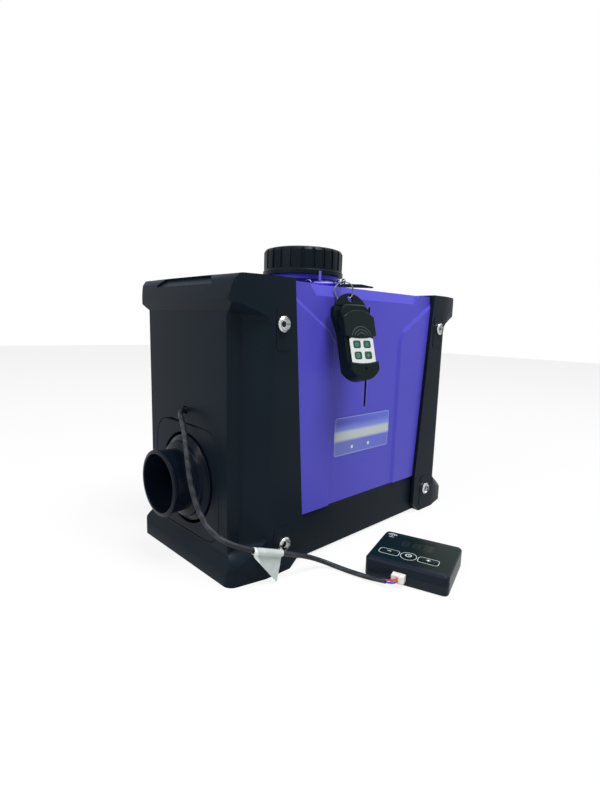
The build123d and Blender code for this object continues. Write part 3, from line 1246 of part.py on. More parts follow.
# The clasp's eye hangs on the tie, and its far end carries the swivel.
EYE_Y = TIE_Y - math.sqrt((TIE_INNER + TIE_THICK / 2) ** 2 - CLASP_SHIFT**2)
EYE_X = NECK_X - CLASP_SHIFT
EYE_Z = TIE_Z + TIE_WIDTH / 2 + 2 * FIT + CLASP_WIRE - CLASP_EYE
with BuildPart() as clasp_body:
    reach = Vector(SWIVEL_X - EYE_X, SWIVEL_Y - EYE_Y, CHAIN_Z - EYE_Z)
    eye_plane = Plane(
        origin=(EYE_X, EYE_Y, EYE_Z), x_dir=(0, 0, 1), z_dir=(reach.Y, -reach.X, 0)
    )
    with Locations(eye_plane):
        Torus(CLASP_EYE, CLASP_WIRE)
    with Locations((SWIVEL_X, SWIVEL_Y, CHAIN_Z)):
        Torus(CLASP_SWIVEL, SWIVEL_WIRE)
    body_plane = Plane(origin=(EYE_X, EYE_Y, EYE_Z), z_dir=reach)
    for start, finish, low, high in (
        (CLASP_EYE, CLASP_NECK, CLASP_TAPER, CLASP_ROUND),
        (CLASP_NECK, CLASP_SHOULDER, CLASP_ROUND, CLASP_ROUND),
        (CLASP_SHOULDER, reach.length - CLASP_SWIVEL, CLASP_ROUND, CLASP_TAPER),
    ):
        for distance, radius in ((start, low), (finish, high)):
            with BuildSketch(body_plane.offset(distance)):
                Circle(radius)
        loft()
    # The thumb lever stands up from the hook's neck.
    with BuildSketch(Plane(origin=body_plane.from_local_coords(Vector(0, 0, CLASP_LEVER_AT)))):
        Circle(CLASP_LEVER_RADIUS)
    extrude(amount=CLASP_LEVER)
clasp_body.part.label = "clasp_body"

with BuildPart() as key_ring:
    ring_plane = Plane(
        origin=RING_AT,
        x_dir=(math.cos(math.radians(RING_TURN)), -math.sin(math.radians(RING_TURN)), 0),
        z_dir=(math.sin(math.radians(RING_TURN)), math.cos(math.radians(RING_TURN)), 0),
    )
    with Locations(ring_plane):
        Torus(RING_RADIUS, RING_WIRE)
key_ring.part.label = "key_ring"

# ---------------------------------------------------------------- hanging remote
lean = math.radians(FOB_LEAN)
turn = math.radians(FOB_TURN)
fob_plane = Plane(
    origin=FOB_HOLE_AT,
    x_dir=(math.cos(turn), -math.sin(turn), 0),
    z_dir=(-math.sin(turn) * math.cos(lean), -math.cos(turn) * math.cos(lean), math.sin(lean)),
)
fob_axis = Axis(FOB_HOLE_AT, fob_plane.z_dir)
COVER_HALF = FOB_WAIST + FIT
COVER_LOW = FOB_THICK / 2 + BEZEL_RISE + FIT
COVER_OUTER = COVER_HALF + COVER_WALL
FOOT_TOP = COVER_SIDE_LOW + COVER_TRAVEL + FIT

# The back shell's outline: a round top with the hole, a waist and a bowed foot.
with BuildSketch() as dome_outline:
    dome_y = FOB_TOP - FOB_DOME
    with BuildLine():
        ThreePointArc((-FOB_DOME, dome_y), (0, FOB_TOP), (FOB_DOME, dome_y))
        Polyline((FOB_DOME, dome_y), (FOB_WAIST, -FOB_WAIST_DROP), (FOB_WAIST, -FOB_SIDE_DROP))
        ThreePointArc(
            (FOB_WAIST, -FOB_SIDE_DROP), (0, -FOB_FOOT_DROP), (-FOB_WAIST, -FOB_SIDE_DROP)
        )
        Polyline((-FOB_WAIST, -FOB_SIDE_DROP), (-FOB_WAIST, -FOB_WAIST_DROP), (-FOB_DOME, dome_y))
    make_face()
    fillet(vertices(), radius=FOB_CORNER)

# The front shell is straight-sided, so that the cover can slide on it.
with BuildSketch() as shell_outline:
    with BuildLine():
        Polyline(
            (-FOB_WAIST, -FOB_SIDE_DROP),
            (-FOB_WAIST, -FOB_SHELL_DROP),
            (FOB_WAIST, -FOB_SHELL_DROP),
            (FOB_WAIST, -FOB_SIDE_DROP),
        )
        ThreePointArc(
            (FOB_WAIST, -FOB_SIDE_DROP), (0, -FOB_FOOT_DROP), (-FOB_WAIST, -FOB_SIDE_DROP)
        )
    make_face()
    fillet(vertices().group_by(Axis.Y)[-1], radius=FOB_ROUND)
    fillet(vertices().filter_by(lambda v: abs(v.Y + FOB_SIDE_DROP) < FIT), radius=FOB_CORNER)

with BuildPart() as fob_back:
    with BuildSketch(fob_plane.offset(-FOB_THICK / 2)):
        add(dome_outline.sketch)
        with Locations((0, FOB_DOME - FOB_SHELL_DROP)):
            Rectangle(3 * FOB_DOME, 2 * FOB_DOME, mode=Mode.SUBTRACT)
    extrude(amount=FOB_THICK / 2)
    chamfer(faces().sort_by(fob_axis)[0].edges(), length=2)
    # The thin lug fills the rest of the dome, half in front of the parting line.
    with BuildSketch(fob_plane.offset(-LUG_THICK / 2)):
        add(dome_outline.sketch)
        with Locations((0, -FOB_SHELL_DROP - 1 - FOB_FOOT_DROP)):
            Rectangle(3 * FOB_DOME, 2 * FOB_FOOT_DROP, mode=Mode.SUBTRACT)
    extrude(amount=LUG_THICK)
    with BuildSketch(fob_plane):
        with Locations((0, -FOB_SHELL_DROP + FIT - FOB_FOOT_DROP)):
            Rectangle(3 * FOB_DOME, 2 * FOB_FOOT_DROP)
    extrude(amount=FOB_THICK, mode=Mode.SUBTRACT)
    with BuildSketch(fob_plane.offset(-LUG_THICK)):
        Circle(LUG_HOLE)
    extrude(amount=2 * LUG_THICK, mode=Mode.SUBTRACT)
fob_back.part.label = "fob_back"

with BuildPart() as fob_front:
    with BuildSketch(fob_plane):
        add(shell_outline.sketch)
    extrude(amount=FOB_THICK / 2)
    chamfer(faces().sort_by(fob_axis)[-1].edges(), length=1.6)
    # A raised island carries the keys' frame, and runs on up under the cover.
    with BuildSketch(fob_plane.offset(FOB_THICK / 2)):
        with Locations((0, -(ISLAND_TOP + BEZEL_LOW) / 2)):
            RectangleRounded(BEZEL_WIDTH, BEZEL_LOW - ISLAND_TOP, 2)
    extrude(amount=BEZEL_RISE)
    # The foot is as high as the cover, and its upper edge fits the cover's lower edge.
    with BuildSketch(fob_plane.offset(FOB_THICK / 2 - 2)):
        add(shell_outline.sketch)
        with BuildLine():
            ThreePointArc(
                (-COVER_OUTER, -FOOT_TOP), (0, -FOOT_TOP - COVER_SAG), (COVER_OUTER, -FOOT_TOP)
            )
            Polyline(
                (COVER_OUTER, -FOOT_TOP), (COVER_OUTER, 0), (-COVER_OUTER, 0), (-COVER_OUTER, -FOOT_TOP)
            )
        make_face(mode=Mode.SUBTRACT)
    extrude(amount=COVER_LOW + COVER_WALL - FOB_THICK / 2 + 2)
    chamfer(faces().sort_by(fob_axis)[-1].edges(), length=0.8)
    well = fob_plane.offset(FOB_THICK / 2 + BEZEL_RISE)
    with BuildSketch(well):
        with Locations((0, -BUTTON_DROP)):
            with GridLocations(*BUTTON_PITCH, 2, 2):
                RectangleRounded(BUTTON_WIDTH + 2 * FIT, BUTTON_HEIGHT + 2 * FIT, BUTTON_ROUND + FIT)
    extrude(amount=-BEZEL_RISE - WELL_DEPTH, mode=Mode.SUBTRACT)
    with BuildSketch(fob_plane.offset(COVER_LOW + COVER_WALL)):
        with Locations((0, -LED_DROP)):
            Circle(LED_RADIUS)
    extrude(amount=-LED_RADIUS, mode=Mode.SUBTRACT)
fob_front.part.label = "fob_front"

# The cover wraps the front shell's sides, and slides down over the keys to meet the foot.
with BuildPart() as fob_cover:
    with BuildSketch(fob_plane.offset(COVER_SKIRT)):
        with BuildLine():
            ThreePointArc(
                (-COVER_OUTER, -COVER_SIDE_TOP), (0, -COVER_TOP), (COVER_OUTER, -COVER_SIDE_TOP)
            )
            Line((COVER_OUTER, -COVER_SIDE_TOP), (COVER_OUTER, -COVER_SIDE_LOW))
            ThreePointArc(
                (COVER_OUTER, -COVER_SIDE_LOW),
                (0, -COVER_SIDE_LOW - COVER_SAG),
                (-COVER_OUTER, -COVER_SIDE_LOW),
            )
            Line((-COVER_OUTER, -COVER_SIDE_LOW), (-COVER_OUTER, -COVER_SIDE_TOP))
        make_face()
    extrude(amount=COVER_LOW + COVER_WALL - COVER_SKIRT)
    chamfer(faces().sort_by(fob_axis)[-1].edges(), length=0.8)
    with BuildSketch(fob_plane.offset(COVER_SKIRT)):
        with Locations((0, -BEZEL_TOP)):
            Rectangle(2 * COVER_HALF, 2 * BEZEL_TOP)
    extrude(amount=COVER_LOW - COVER_SKIRT, mode=Mode.SUBTRACT)
fob_cover.part.label = "fob_cover"


def fob_button(column, row):
    """One of the four keys in the frame, by its place in the grid."""
    floor = FOB_THICK / 2 - WELL_DEPTH
    place = (column * BUTTON_PITCH[0] / 2, -BUTTON_DROP + row * BUTTON_PITCH[1] / 2)
    with BuildPart() as button:
        with BuildSketch(fob_plane.offset(floor + BUTTON_TRAVEL + FIT)):
            with Locations(place):
                RectangleRounded(BUTTON_WIDTH, BUTTON_HEIGHT, BUTTON_ROUND)
        extrude(amount=WELL_DEPTH + BEZEL_RISE - BUTTON_TRAVEL - FIT - BUTTON_SINK)
        chamfer(faces().sort_by(fob_axis)[-1].edges(), length=0.5)
    return button.part


fob_buttons = []
for i in range(4):
    fob_buttons.append(fob_button(-1 if i % 2 == 0 else 1, 1 if i < 2 else -1))
    fob_buttons[-1].label = f"fob_button_{i + 1}"

# ---------------------------------------------------------------- cable controller
desk = Plane(origin=(*CONTROLLER_AT, 0), z_dir=(0, 0, 1)).rotated((0, 0, CONTROLLER_TURN))
SPLIT_Z = CONTROLLER_HEIGHT / 2
ROOF_Z = CONTROLLER_HEIGHT - CONTROLLER_WALL


def controller_outline(inset):
    """The controller's rounded outline, drawn in by a wall or a gap."""
    RectangleRounded(
        CONTROLLER_WIDTH - 2 * inset, CONTROLLER_DEPTH - 2 * inset, CONTROLLER_ROUND - inset
    )


with BuildPart() as controller_bottom:
    with BuildSketch(desk):
        controller_outline(0)
    extrude(amount=SPLIT_Z)
    chamfer(faces().sort_by(Axis.Z)[0].edges(), length=1)
    with BuildSketch(desk.offset(CONTROLLER_WALL)):
        controller_outline(CONTROLLER_WALL)
    extrude(amount=SPLIT_Z, mode=Mode.SUBTRACT)
    with BuildSketch(desk.offset(CONTROLLER_WALL)):
        with GridLocations(*POST_PITCH, 2, 2):
            Circle(POST_SIZE)
    extrude(amount=BOARD_Z - CONTROLLER_WALL)
    with BuildSketch(desk.offset(PLUG_LOW_Z)):
        with Locations((PLUG_X, -CONTROLLER_DEPTH / 2)):
            Rectangle(PLUG_SIZE[0] + FIT, 4 * CONTROLLER_WALL)
    extrude(amount=SPLIT_Z, mode=Mode.SUBTRACT)
controller_bottom.part.label = "controller_bottom"

with BuildPart() as controller_top:
    with BuildSketch(desk.offset(SPLIT_Z)):
        controller_outline(0)
    extrude(amount=CONTROLLER_HEIGHT - SPLIT_Z)
    chamfer(faces().sort_by(Axis.Z)[-1].edges(), length=1.5)
    with BuildSketch(desk.offset(SPLIT_Z)):
        controller_outline(CONTROLLER_WALL)
    extrude(amount=ROOF_Z - SPLIT_Z, mode=Mode.SUBTRACT)
    with BuildSketch(desk.offset(CONTROLLER_HEIGHT)):
        with Locations(DISPLAY_AT):
            Rectangle(*DISPLAY_SIZE)
    extrude(amount=-DISPLAY_RECESS, mode=Mode.SUBTRACT)
    with BuildSketch(desk.offset(CONTROLLER_HEIGHT)):
        with Locations(MINUS_AT, PLUS_AT):
            SlotOverall(KEY_LENGTH + 2 * FIT, KEY_WIDTH + 2 * FIT)
        with Locations(POWER_AT):
            Circle(POWER_RADIUS + FIT)
    extrude(amount=-2 * CONTROLLER_WALL, mode=Mode.SUBTRACT)
    with BuildSketch(desk.offset(SPLIT_Z)):
        with Locations((PLUG_X, -CONTROLLER_DEPTH / 2)):
            Rectangle(PLUG_SIZE[0] + FIT, 4 * CONTROLLER_WALL)
    extrude(amount=PLUG_LOW_Z + PLUG_SIZE[2] + FIT - SPLIT_Z, mode=Mode.SUBTRACT)
controller_top.part.label = "controller_top"

with BuildPart() as controller_display:
    with BuildSketch(desk.offset(CONTROLLER_HEIGHT - DISPLAY_RECESS)):
        with Locations(DISPLAY_AT):
            Rectangle(DISPLAY_SIZE[0] - FIT, DISPLAY_SIZE[1] - FIT)
    extrude(amount=DISPLAY_RECESS - 0.2)
controller_display.part.label = "controller_display"

with BuildPart() as controller_board:
    with BuildSketch(desk.offset(BOARD_Z)):
        Rectangle(CONTROLLER_WIDTH - 4 * CONTROLLER_WALL, CONTROLLER_DEPTH - 8 * CONTROLLER_WALL)
    extrude(amount=BOARD_THICK)
    with BuildSketch(desk.offset(BOARD_Z + BOARD_THICK)):
        with Locations(DISPLAY_AT):
            Rectangle(DISPLAY_SIZE[0] - 4, DISPLAY_SIZE[1] - 4)
    extrude(amount=ROOF_Z - BOARD_Z - BOARD_THICK)
controller_board.part.label = "controller_board"


def controller_key(place, round_key):
    """A key with a flange under the roof and a stem that reaches its switch."""
    with BuildPart() as key:
        with BuildSketch(desk.offset(ROOF_Z - FIT)):
            with Locations(place):
                if round_key:
                    Circle(POWER_RADIUS)
                else:
                    SlotOverall(KEY_LENGTH, KEY_WIDTH)
        extrude(amount=CONTROLLER_WALL + FIT + KEY_RISE)
        chamfer(faces().sort_by(Axis.Z)[-1].edges(), length=0.4)
        with BuildSketch(desk.offset(ROOF_Z - FIT)):
            with Locations(place):
                if round_key:
                    Circle(POWER_RADIUS + KEY_FLANGE)
                else:
                    SlotOverall(KEY_LENGTH + 2 * KEY_FLANGE, KEY_WIDTH + 2 * KEY_FLANGE)
        extrude(amount=-KEY_FLANGE)
        with BuildSketch(desk.offset(ROOF_Z - FIT)):
            with Locations(place):
                Circle(KEY_STEM)
        extrude(amount=-(ROOF_Z - FIT - BOARD_Z - BOARD_THICK - KEY_TRAVEL - FIT))
    return key.part


key_minus = controller_key(MINUS_AT, False)
key_minus.label = "key_minus"
key_power = controller_key(POWER_AT, True)
key_power.label = "key_power"
key_plus = controller_key(PLUS_AT, False)
key_plus.label = "key_plus"

with BuildPart() as controller_plug:
    plug_plane = Plane(
        origin=desk.from_local_coords(
            Vector(PLUG_X, -CONTROLLER_DEPTH / 2 - PLUG_SIZE[1], PLUG_LOW_Z + PLUG_SIZE[2] / 2)
        ),
        x_dir=desk.x_dir,
        z_dir=desk.y_dir,
    )
    with BuildSketch(plug_plane):
        Rectangle(PLUG_SIZE[0], PLUG_SIZE[2])
    extrude(amount=PLUG_SIZE[1] + CONTROLLER_WALL)
controller_plug.part.label = "controller_plug"

# ---------------------------------------------------------------- cable from the case to the controller
with BuildPart() as cord_clamp:
    with BuildSketch(Plane.YZ.offset(-NOSE_INNER_X)):
        with Locations((0, CORD_EXIT_Z)):
            RectangleRounded(2.4 * CORD_SLOT, 2.4 * CORD_SLOT, 2)
    extrude(amount=CLAMP_DEPTH)
cord_clamp.part.label = "cord_clamp"

cord_points = [
    (-NOSE_INNER_X, 0, CORD_EXIT_Z),
    (-178, 0, CORD_EXIT_Z),
    (-184, -6.5, 148),
    (-187.5, -16, 143),
    (-190.5, -26.5, 130),
    (-195, -37.5, 111),
    (-196, -44.5, 89.5),
    (-194.1, -54, 68.5),
    (-191.5, -68, 54.5),
    (-184.5, -84, 46.5),
    (-166, -94.5, 38),
    (-134, -99, 27),
    (-106, -102, 16),
    (-88, -105.5, 6.5),
    (-80.5, -117.5, 2.8),
    (-77, -134.5, 2.6),
    (-73, -152.8, 3.2),
    (-69.2, -167.6, 5),
]


def arc_radii(points):
    """As large as its two runs allow, at each corner of a path."""
    radii = []
    for before, here, after in zip(points, points[1:], points[2:]):
        first = Vector(*here) - Vector(*before)
        second = Vector(*after) - Vector(*here)
        half_turn = math.radians(first.get_angle(second)) / 2
        radii.append(0.45 * min(first.length, second.length) / math.tan(half_turn))
    return radii


cord_radii = arc_radii(cord_points)
with BuildPart() as controller_cord:
    with BuildLine():
        cord_path = FilletPolyline(*cord_points, radius=cord_radii)
    with BuildSketch(Plane(origin=cord_path @ 0, z_dir=cord_path % 0)):
        Circle(CORD_RADIUS)
    sweep()
controller_cord.part.label = "controller_cord"
print("cord length", round(cord_path.length, 1), "radii", [round(r, 1) for r in cord_radii])
print(
    "cord volume against section times length",
    round(controller_cord.part.volume / (math.pi * CORD_RADIUS**2 * cord_path.length), 4),
)

cord_end = Vector(*cord_points[-1])
cord_way = (cord_end - Vector(*cord_points[-2])).normalized()
end_plane = Plane(origin=cord_end, x_dir=cord_way.cross(Vector(0, 0, 1)), z_dir=cord_way)
with BuildPart() as plug_wires:
    for side in (1, -1):
        start = end_plane.from_local_coords(Vector(0, side * WIRE_PITCH[0], 0))
        finish = plug_plane.from_local_coords(Vector(0, side * WIRE_PITCH[1], 0))
        with BuildLine():
            wire_path = Spline(start, finish, tangents=(cord_way, plug_plane.z_dir))
        with BuildSketch(Plane(origin=wire_path @ 0, z_dir=wire_path % 0)):
            Circle(WIRE_RADIUS)
        sweep()
plug_wires.part.label = "plug_wires"

# A paper flag folded round the cable, which hangs from it to the floor.
tag_start = Vector(*cord_points[10])
tag_finish = Vector(*cord_points[11])
tag_way = tag_finish - tag_start
tag_side = tag_way.cross(Vector(0, 0, 1)).normalized()
tag_level = Vector(tag_way.X, tag_way.Y, 0)
tag_plane = Plane(origin=tag_start, x_dir=tag_level, z_dir=tag_side)
with BuildPart() as cord_tag:
    fall = tag_way.Z / tag_level.length
    run = tag_level.length
    with BuildSketch(tag_plane.offset(-TAG_THICK / 2)):
        with BuildLine():
            Polyline(
                (TAG_INSET, TAG_INSET * fall),
                (run - TAG_INSET, (run - TAG_INSET) * fall),
                (run - TAG_FOOT_BACK, TAG_FOOT_Z - tag_start.Z),
                (2 * TAG_INSET, 2 * TAG_INSET * fall - TAG_BACK_DROP),
                close=True,
            )
        make_face()
    extrude(amount=TAG_THICK)
    with BuildSketch(Plane(origin=tag_start + tag_way * 0.3, z_dir=tag_way)):
        Circle(CORD_RADIUS + FIT + TAG_THICK)
    extrude(amount=tag_way.length * 0.4)
    with BuildSketch(Plane(origin=tag_start, z_dir=tag_way)):
        Circle(CORD_RADIUS + FIT)
    extrude(amount=tag_way.length, mode=Mode.SUBTRACT)
cord_tag.part.label = "cord_tag"

# ---------------------------------------------------------------- one file for each piece
built = (
    left_end_cap, right_end_cap, fuel_tank, level_strip, label_plate, base_tray,
    fuel_cap, cap_seal, zip_tie, outlet_plate, outlet_spigot, outlet_duct,
    inlet_grille, inlet_duct, jacket_lower, jacket_upper, heat_exchanger, burner_tube,
    burner_housing, blower_motor, motor_shaft, combustion_impeller, fan_wheel, glow_plug,
    mount_block, control_board, fuel_pump, tank_outlet, power_gland,
    clasp_body, key_ring, fob_back, fob_front, fob_cover, controller_bottom,
    controller_top, controller_display, controller_board, controller_plug, cord_clamp,
    controller_cord, plug_wires, cord_tag,
)  # fmt: skip
pieces = [builder.part for builder in built]
pieces += [exhaust_stub, air_intake_stub, fuel_line, fuel_feed, cap_screws]
pieces += [key_minus, key_power, key_plus]
pieces += chain_links + fob_buttons
for piece in pieces:
    export_step(piece, f"parts/{piece.label}.step")
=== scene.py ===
"""Looks for the portable diesel air heater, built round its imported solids.

Metres, +Z up.  Warm air leaves at -X, fresh air enters at +X, and the labelled front faces -Y.
"""

import math

import bmesh
import bpy
from mathutils import Matrix, Vector


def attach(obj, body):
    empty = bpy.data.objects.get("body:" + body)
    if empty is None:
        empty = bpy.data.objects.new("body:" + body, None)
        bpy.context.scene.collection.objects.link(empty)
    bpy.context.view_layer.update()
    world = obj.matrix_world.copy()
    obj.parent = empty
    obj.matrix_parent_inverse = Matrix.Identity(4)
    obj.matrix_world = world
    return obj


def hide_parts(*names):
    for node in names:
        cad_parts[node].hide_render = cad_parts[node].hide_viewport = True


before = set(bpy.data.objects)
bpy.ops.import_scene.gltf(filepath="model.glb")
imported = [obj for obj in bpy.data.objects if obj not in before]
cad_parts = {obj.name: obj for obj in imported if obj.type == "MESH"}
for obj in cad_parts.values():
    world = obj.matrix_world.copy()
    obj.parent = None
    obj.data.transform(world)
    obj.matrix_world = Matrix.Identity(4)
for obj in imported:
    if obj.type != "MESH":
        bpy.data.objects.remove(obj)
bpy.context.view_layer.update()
bpy.ops.object.select_all(action="DESELECT")

# ---- Studio
# A plain white floor under a soft even sky, with one large lamp high above the front and a weaker
# one beyond the left end.  Only what the camera or a polished surface looks at is full white.


class Sock:
    """A shader socket that can be used in sums."""

    def __init__(self, tree, socket):
        self.tree = tree
        self.socket = socket

    def node(self, kind, inputs=None, output=0, **settings):
        """A new node in this tree, with its inputs set or linked, as the sock of one output."""
        made = self.tree.nodes.new(kind)
        for name, value in settings.items():
            setattr(made, name, value)
        for name, value in (inputs or {}).items():
            if isinstance(value, Sock):
                self.tree.links.new(value.socket, made.inputs[name])
            elif value is not None:
                made.inputs[name].default_value = value
        return Sock(self.tree, made.outputs[output])

    def _maths(self, operation, first, second=None):
        return self.node("ShaderNodeMath", {0: first, 1: second}, operation=operation)

    def __add__(self, other):
        return self._maths("ADD", self, other)

    def __sub__(self, other):
        return self._maths("SUBTRACT", self, other)

    def __rsub__(self, other):
        return self._maths("SUBTRACT", other, self)

    def __mul__(self, other):
        return self._maths("MULTIPLY", self, other)

    def larger(self, other):
        return self._maths("MAXIMUM", self, other)

    def smaller(self, other):
        return self._maths("MINIMUM", self, other)

    def size(self):
        return self._maths("ABSOLUTE", self)

    def far(self, other):
        """The length of the vector that two socks make."""
        return self._maths("SQRT", self * self + other * other)

    def along(self, origin, way):
        """How many millimetres this place, in metres, lies from an origin along a direction."""
        off = self.node("ShaderNodeVectorMath", {0: self, 1: origin}, operation="SUBTRACT")
        dot = self.node("ShaderNodeVectorMath", {0: off, 1: way}, output=1, operation="DOT_PRODUCT")
        return dot * 1000.0

    def soften(self, width):
        """0 below nothing and 1 above it, with a soft step of this width."""
        return self.node(
            "ShaderNodeMath",
            {0: self, 1: 1.0 / width, 2: 0.5},
            operation="MULTIPLY_ADD",
            use_clamp=True,
        )

    def blend(self, dark, light):
        """From one colour to another as this sock goes from 0 to 1."""
        sides = [c if isinstance(c, Sock) else (*c, 1.0) for c in (dark, light)]
        return self.node(
            "ShaderNodeMix", {"Factor": self, "A": sides[0], "B": sides[1]}, output=2, data_type="RGBA"
        )


def blank_material(name):
    """A material with one principled shader, and a Sock to start its nodes from."""
    material = bpy.data.materials.new(name)
    material.use_nodes = True
    tree = material.node_tree
    shader = tree.nodes["Principled BSDF"]
    return material, shader, Sock(tree, shader.outputs[0])


def join_up(shader, **values):
    """Sets a shader's sockets, with spaces for underscores, to values or links."""
    for name, value in values.items():
        socket = shader.inputs[name.replace("_", " ")]
        if isinstance(value, Sock):
            value.tree.links.new(value.socket, socket)
        else:
            socket.default_value = value


def looking(begin):
    """1 for the rays that look at a surface, and 0 for those that gather its light."""
    rays = begin.node("ShaderNodeLightPath", output="Is Camera Ray")
    for name in ("Is Glossy Ray", "Is Transmission Ray"):
        rays = rays.larger(begin.node("ShaderNodeLightPath", output=name))
    return rays


sky = bpy.data.worlds.new("studio_sky")
bpy.context.scene.world = sky
sky.use_nodes = True
sky_light = sky.node_tree.nodes["Background"]
sky_start = Sock(sky.node_tree, sky_light.outputs["Background"])
sky_glow = 0.23
join_up(
    sky_light,
    Color=(1.0, 1.0, 1.0, 1.0),
    Strength=looking(sky_start) * (1.0 - sky_glow) + sky_glow,
)

bpy.ops.mesh.primitive_plane_add(size=8.0, location=(0, 0, -0.0002))
floor = bpy.context.object
floor.name = "studio_floor"
floor_paint, floor_shader, start = blank_material("studio_floor_paint")
join_up(
    floor_shader, Base_Color=(0.75, 0.75, 0.75, 1.0), Roughness=0.9, Specular_IOR_Level=0.0
)
floor_white = start.node("ShaderNodeEmission", {"Color": (1, 1, 1, 1), "Strength": 1.0})
shadow_kept = 0.14
floor_look = start.node(
    "ShaderNodeMixShader", {0: looking(start) * (1.0 - shadow_kept), 1: start, 2: floor_white}
)
floor_output = floor_paint.node_tree.nodes["Material Output"]
floor_paint.node_tree.links.new(floor_look.socket, floor_output.inputs["Surface"])
floor.data.materials.append(floor_paint)


def studio_lamp(name, place, target, size, power):
    lamp = bpy.data.lights.new(name, "AREA")
    lamp.size = size
    lamp.energy = power
    holder = bpy.data.objects.new(name, lamp)
    holder.location = place
    holder.rotation_euler = (Vector(target) - Vector(place)).to_track_quat("-Z", "Y").to_euler()
    bpy.context.collection.objects.link(holder)


case_middle = (0, 0, 0.12)
studio_lamp("key_lamp", (0.05, -0.85, 2.1), case_middle, size=0.9, power=56.0)
studio_lamp("side_lamp", (-1.6, 0.1, 1.2), case_middle, size=0.9, power=20.0)

# ---- Camera
# Near the front left corner at a little under the top of the case, turned 44 degrees and tipped
# 9 degrees down, with the short lens that the strong perspective asks for.
camera_yaw = math.radians(44.30)
camera_pitch = math.radians(8.92)
camera_roll = math.radians(-1.74)
camera_place = Vector((-0.40915, -0.39731, 0.23218))
forward = Vector(
    (
        math.sin(camera_yaw) * math.cos(camera_pitch),
        math.cos(camera_yaw) * math.cos(camera_pitch),
        -math.sin(camera_pitch),
    )
)
level_right = Vector((math.cos(camera_yaw), -math.sin(camera_yaw), 0))
level_down = forward.cross(level_right)
tilted_right = math.cos(camera_roll) * level_right + math.sin(camera_roll) * level_down
tilted_down = math.cos(camera_roll) * level_down - math.sin(camera_roll) * level_right
camera_data = bpy.data.cameras.new("studio_camera")
camera_data.sensor_width = 36.0
camera_data.lens = 21.4
camera = bpy.data.objects.new("studio_camera", camera_data)
turn = Matrix((tilted_right, -tilted_down, -forward)).transposed().to_4x4()
camera.matrix_world = Matrix.Translation(camera_place) @ turn
bpy.context.collection.objects.link(camera)
bpy.context.scene.camera = camera
bpy.context.scene.view_settings.view_transform = "Standard"

# ---- Controller cable
# A limp bundle in a matt black sleeve, from the slot in the end panel to the controller's plug.
# It drops past the spigot, rounds the front foot and lies along the floor.
cable_points = [
    (-0.1705, 0, 0.149),
    (-0.178, 0, 0.149),
    (-0.184, -0.0065, 0.148),
    (-0.1875, -0.016, 0.143),
    (-0.1905, -0.0265, 0.130),
    (-0.195, -0.0375, 0.111),
    (-0.196, -0.0445, 0.0895),
    (-0.1941, -0.054, 0.0685),
    (-0.1915, -0.068, 0.0545),
    (-0.1845, -0.084, 0.0465),
    (-0.166, -0.0945, 0.038),
    (-0.134, -0.099, 0.027),
    (-0.106, -0.102, 0.016),
    (-0.088, -0.1055, 0.0065),
    (-0.0805, -0.1175, 0.0028),
    (-0.077, -0.1345, 0.0026),
    (-0.073, -0.1528, 0.0032),
    (-0.0692, -0.1676, 0.005),
]
cable_diameter = 0.0048
cable_curve = bpy.data.curves.new("controller_cable", "CURVE")
cable_curve.dimensions = "3D"
cable_route = cable_curve.splines.new("NURBS")
cable_route.points.add(len(cable_points) - 1)
for point, place in zip(cable_route.points, cable_points):
    point.co = (*place, 1.0)
cable_route.order_u = 3
cable_route.use_endpoint_u = True
cable_curve.resolution_u = 12
cable_curve.bevel_depth = cable_diameter / 2
cable_curve.bevel_resolution = 4
cable_curve.use_fill_caps = True
cable = bpy.data.objects.new("controller_cable", cable_curve)
bpy.context.collection.objects.link(cable)

sleeve, sleeve_shader, start = blank_material("matt_black_cable_sleeve")
here = start.node("ShaderNodeTexCoord", output="Object")
weave = start.node("ShaderNodeTexNoise", {"Vector": here, "Scale": 900.0, "Detail": 3.0})
twist = start.node(
    "ShaderNodeTexWave",
    {"Vector": here, "Scale": 42.0, "Distortion": 2.5, "Detail": 1.0, "Detail Scale": 4.0},
    output=1,
    bands_direction="DIAGONAL",
)
# The lighter bands along the twist are painted glints on the wrap's ridges; the fine weave speckle is
# the sleeve's own grain.
join_up(
    sleeve_shader,
    Base_Color=(twist * 0.75 + weave * 0.25).blend((0.005, 0.006, 0.009), (0.024, 0.029, 0.037)),
    Roughness=weave * 0.25 + 0.4,
    Specular_IOR_Level=0.25,
    Normal=start.node(
        "ShaderNodeBump",
        {"Height": twist * 0.8 + weave * 0.2, "Strength": 0.7, "Distance": 0.0007},
    ),
)
cable_curve.materials.append(sleeve)
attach(cable, "case")
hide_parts("controller_cord")

# ---- End caps, tray and cover plates
# Injection-moulded black ABS with a fine matt grain.  The caps slide over the tank's ends and screw
# to it and to the tray; the outlet's cover plate sits flush in the end panel round the spigot.
smooth_angle = math.radians(38.0)
cap_corner_radius = 0.0032
cap_corners_from = 0.138


def round_long_edges(mesh, width, nearest_end):
    """Gives the long outer corners past a place along the case a broad moulded radius."""
    shape = bmesh.from_edit_mesh(mesh)
    for edge in shape.edges:
        middle = (edge.verts[0].co + edge.verts[1].co) / 2
        long_and_sharp = (
            len(edge.link_faces) == 2
            and edge.calc_length() > 0.03
            and edge.calc_face_angle_signed(0.0) > math.radians(28.0)
        )
        edge.select_set(long_and_sharp and abs(middle.x) > nearest_end)
    bmesh.update_edit_mesh(mesh)
    bpy.ops.mesh.bevel(offset=width, segments=4, affect="EDGES", clamp_overlap=False)


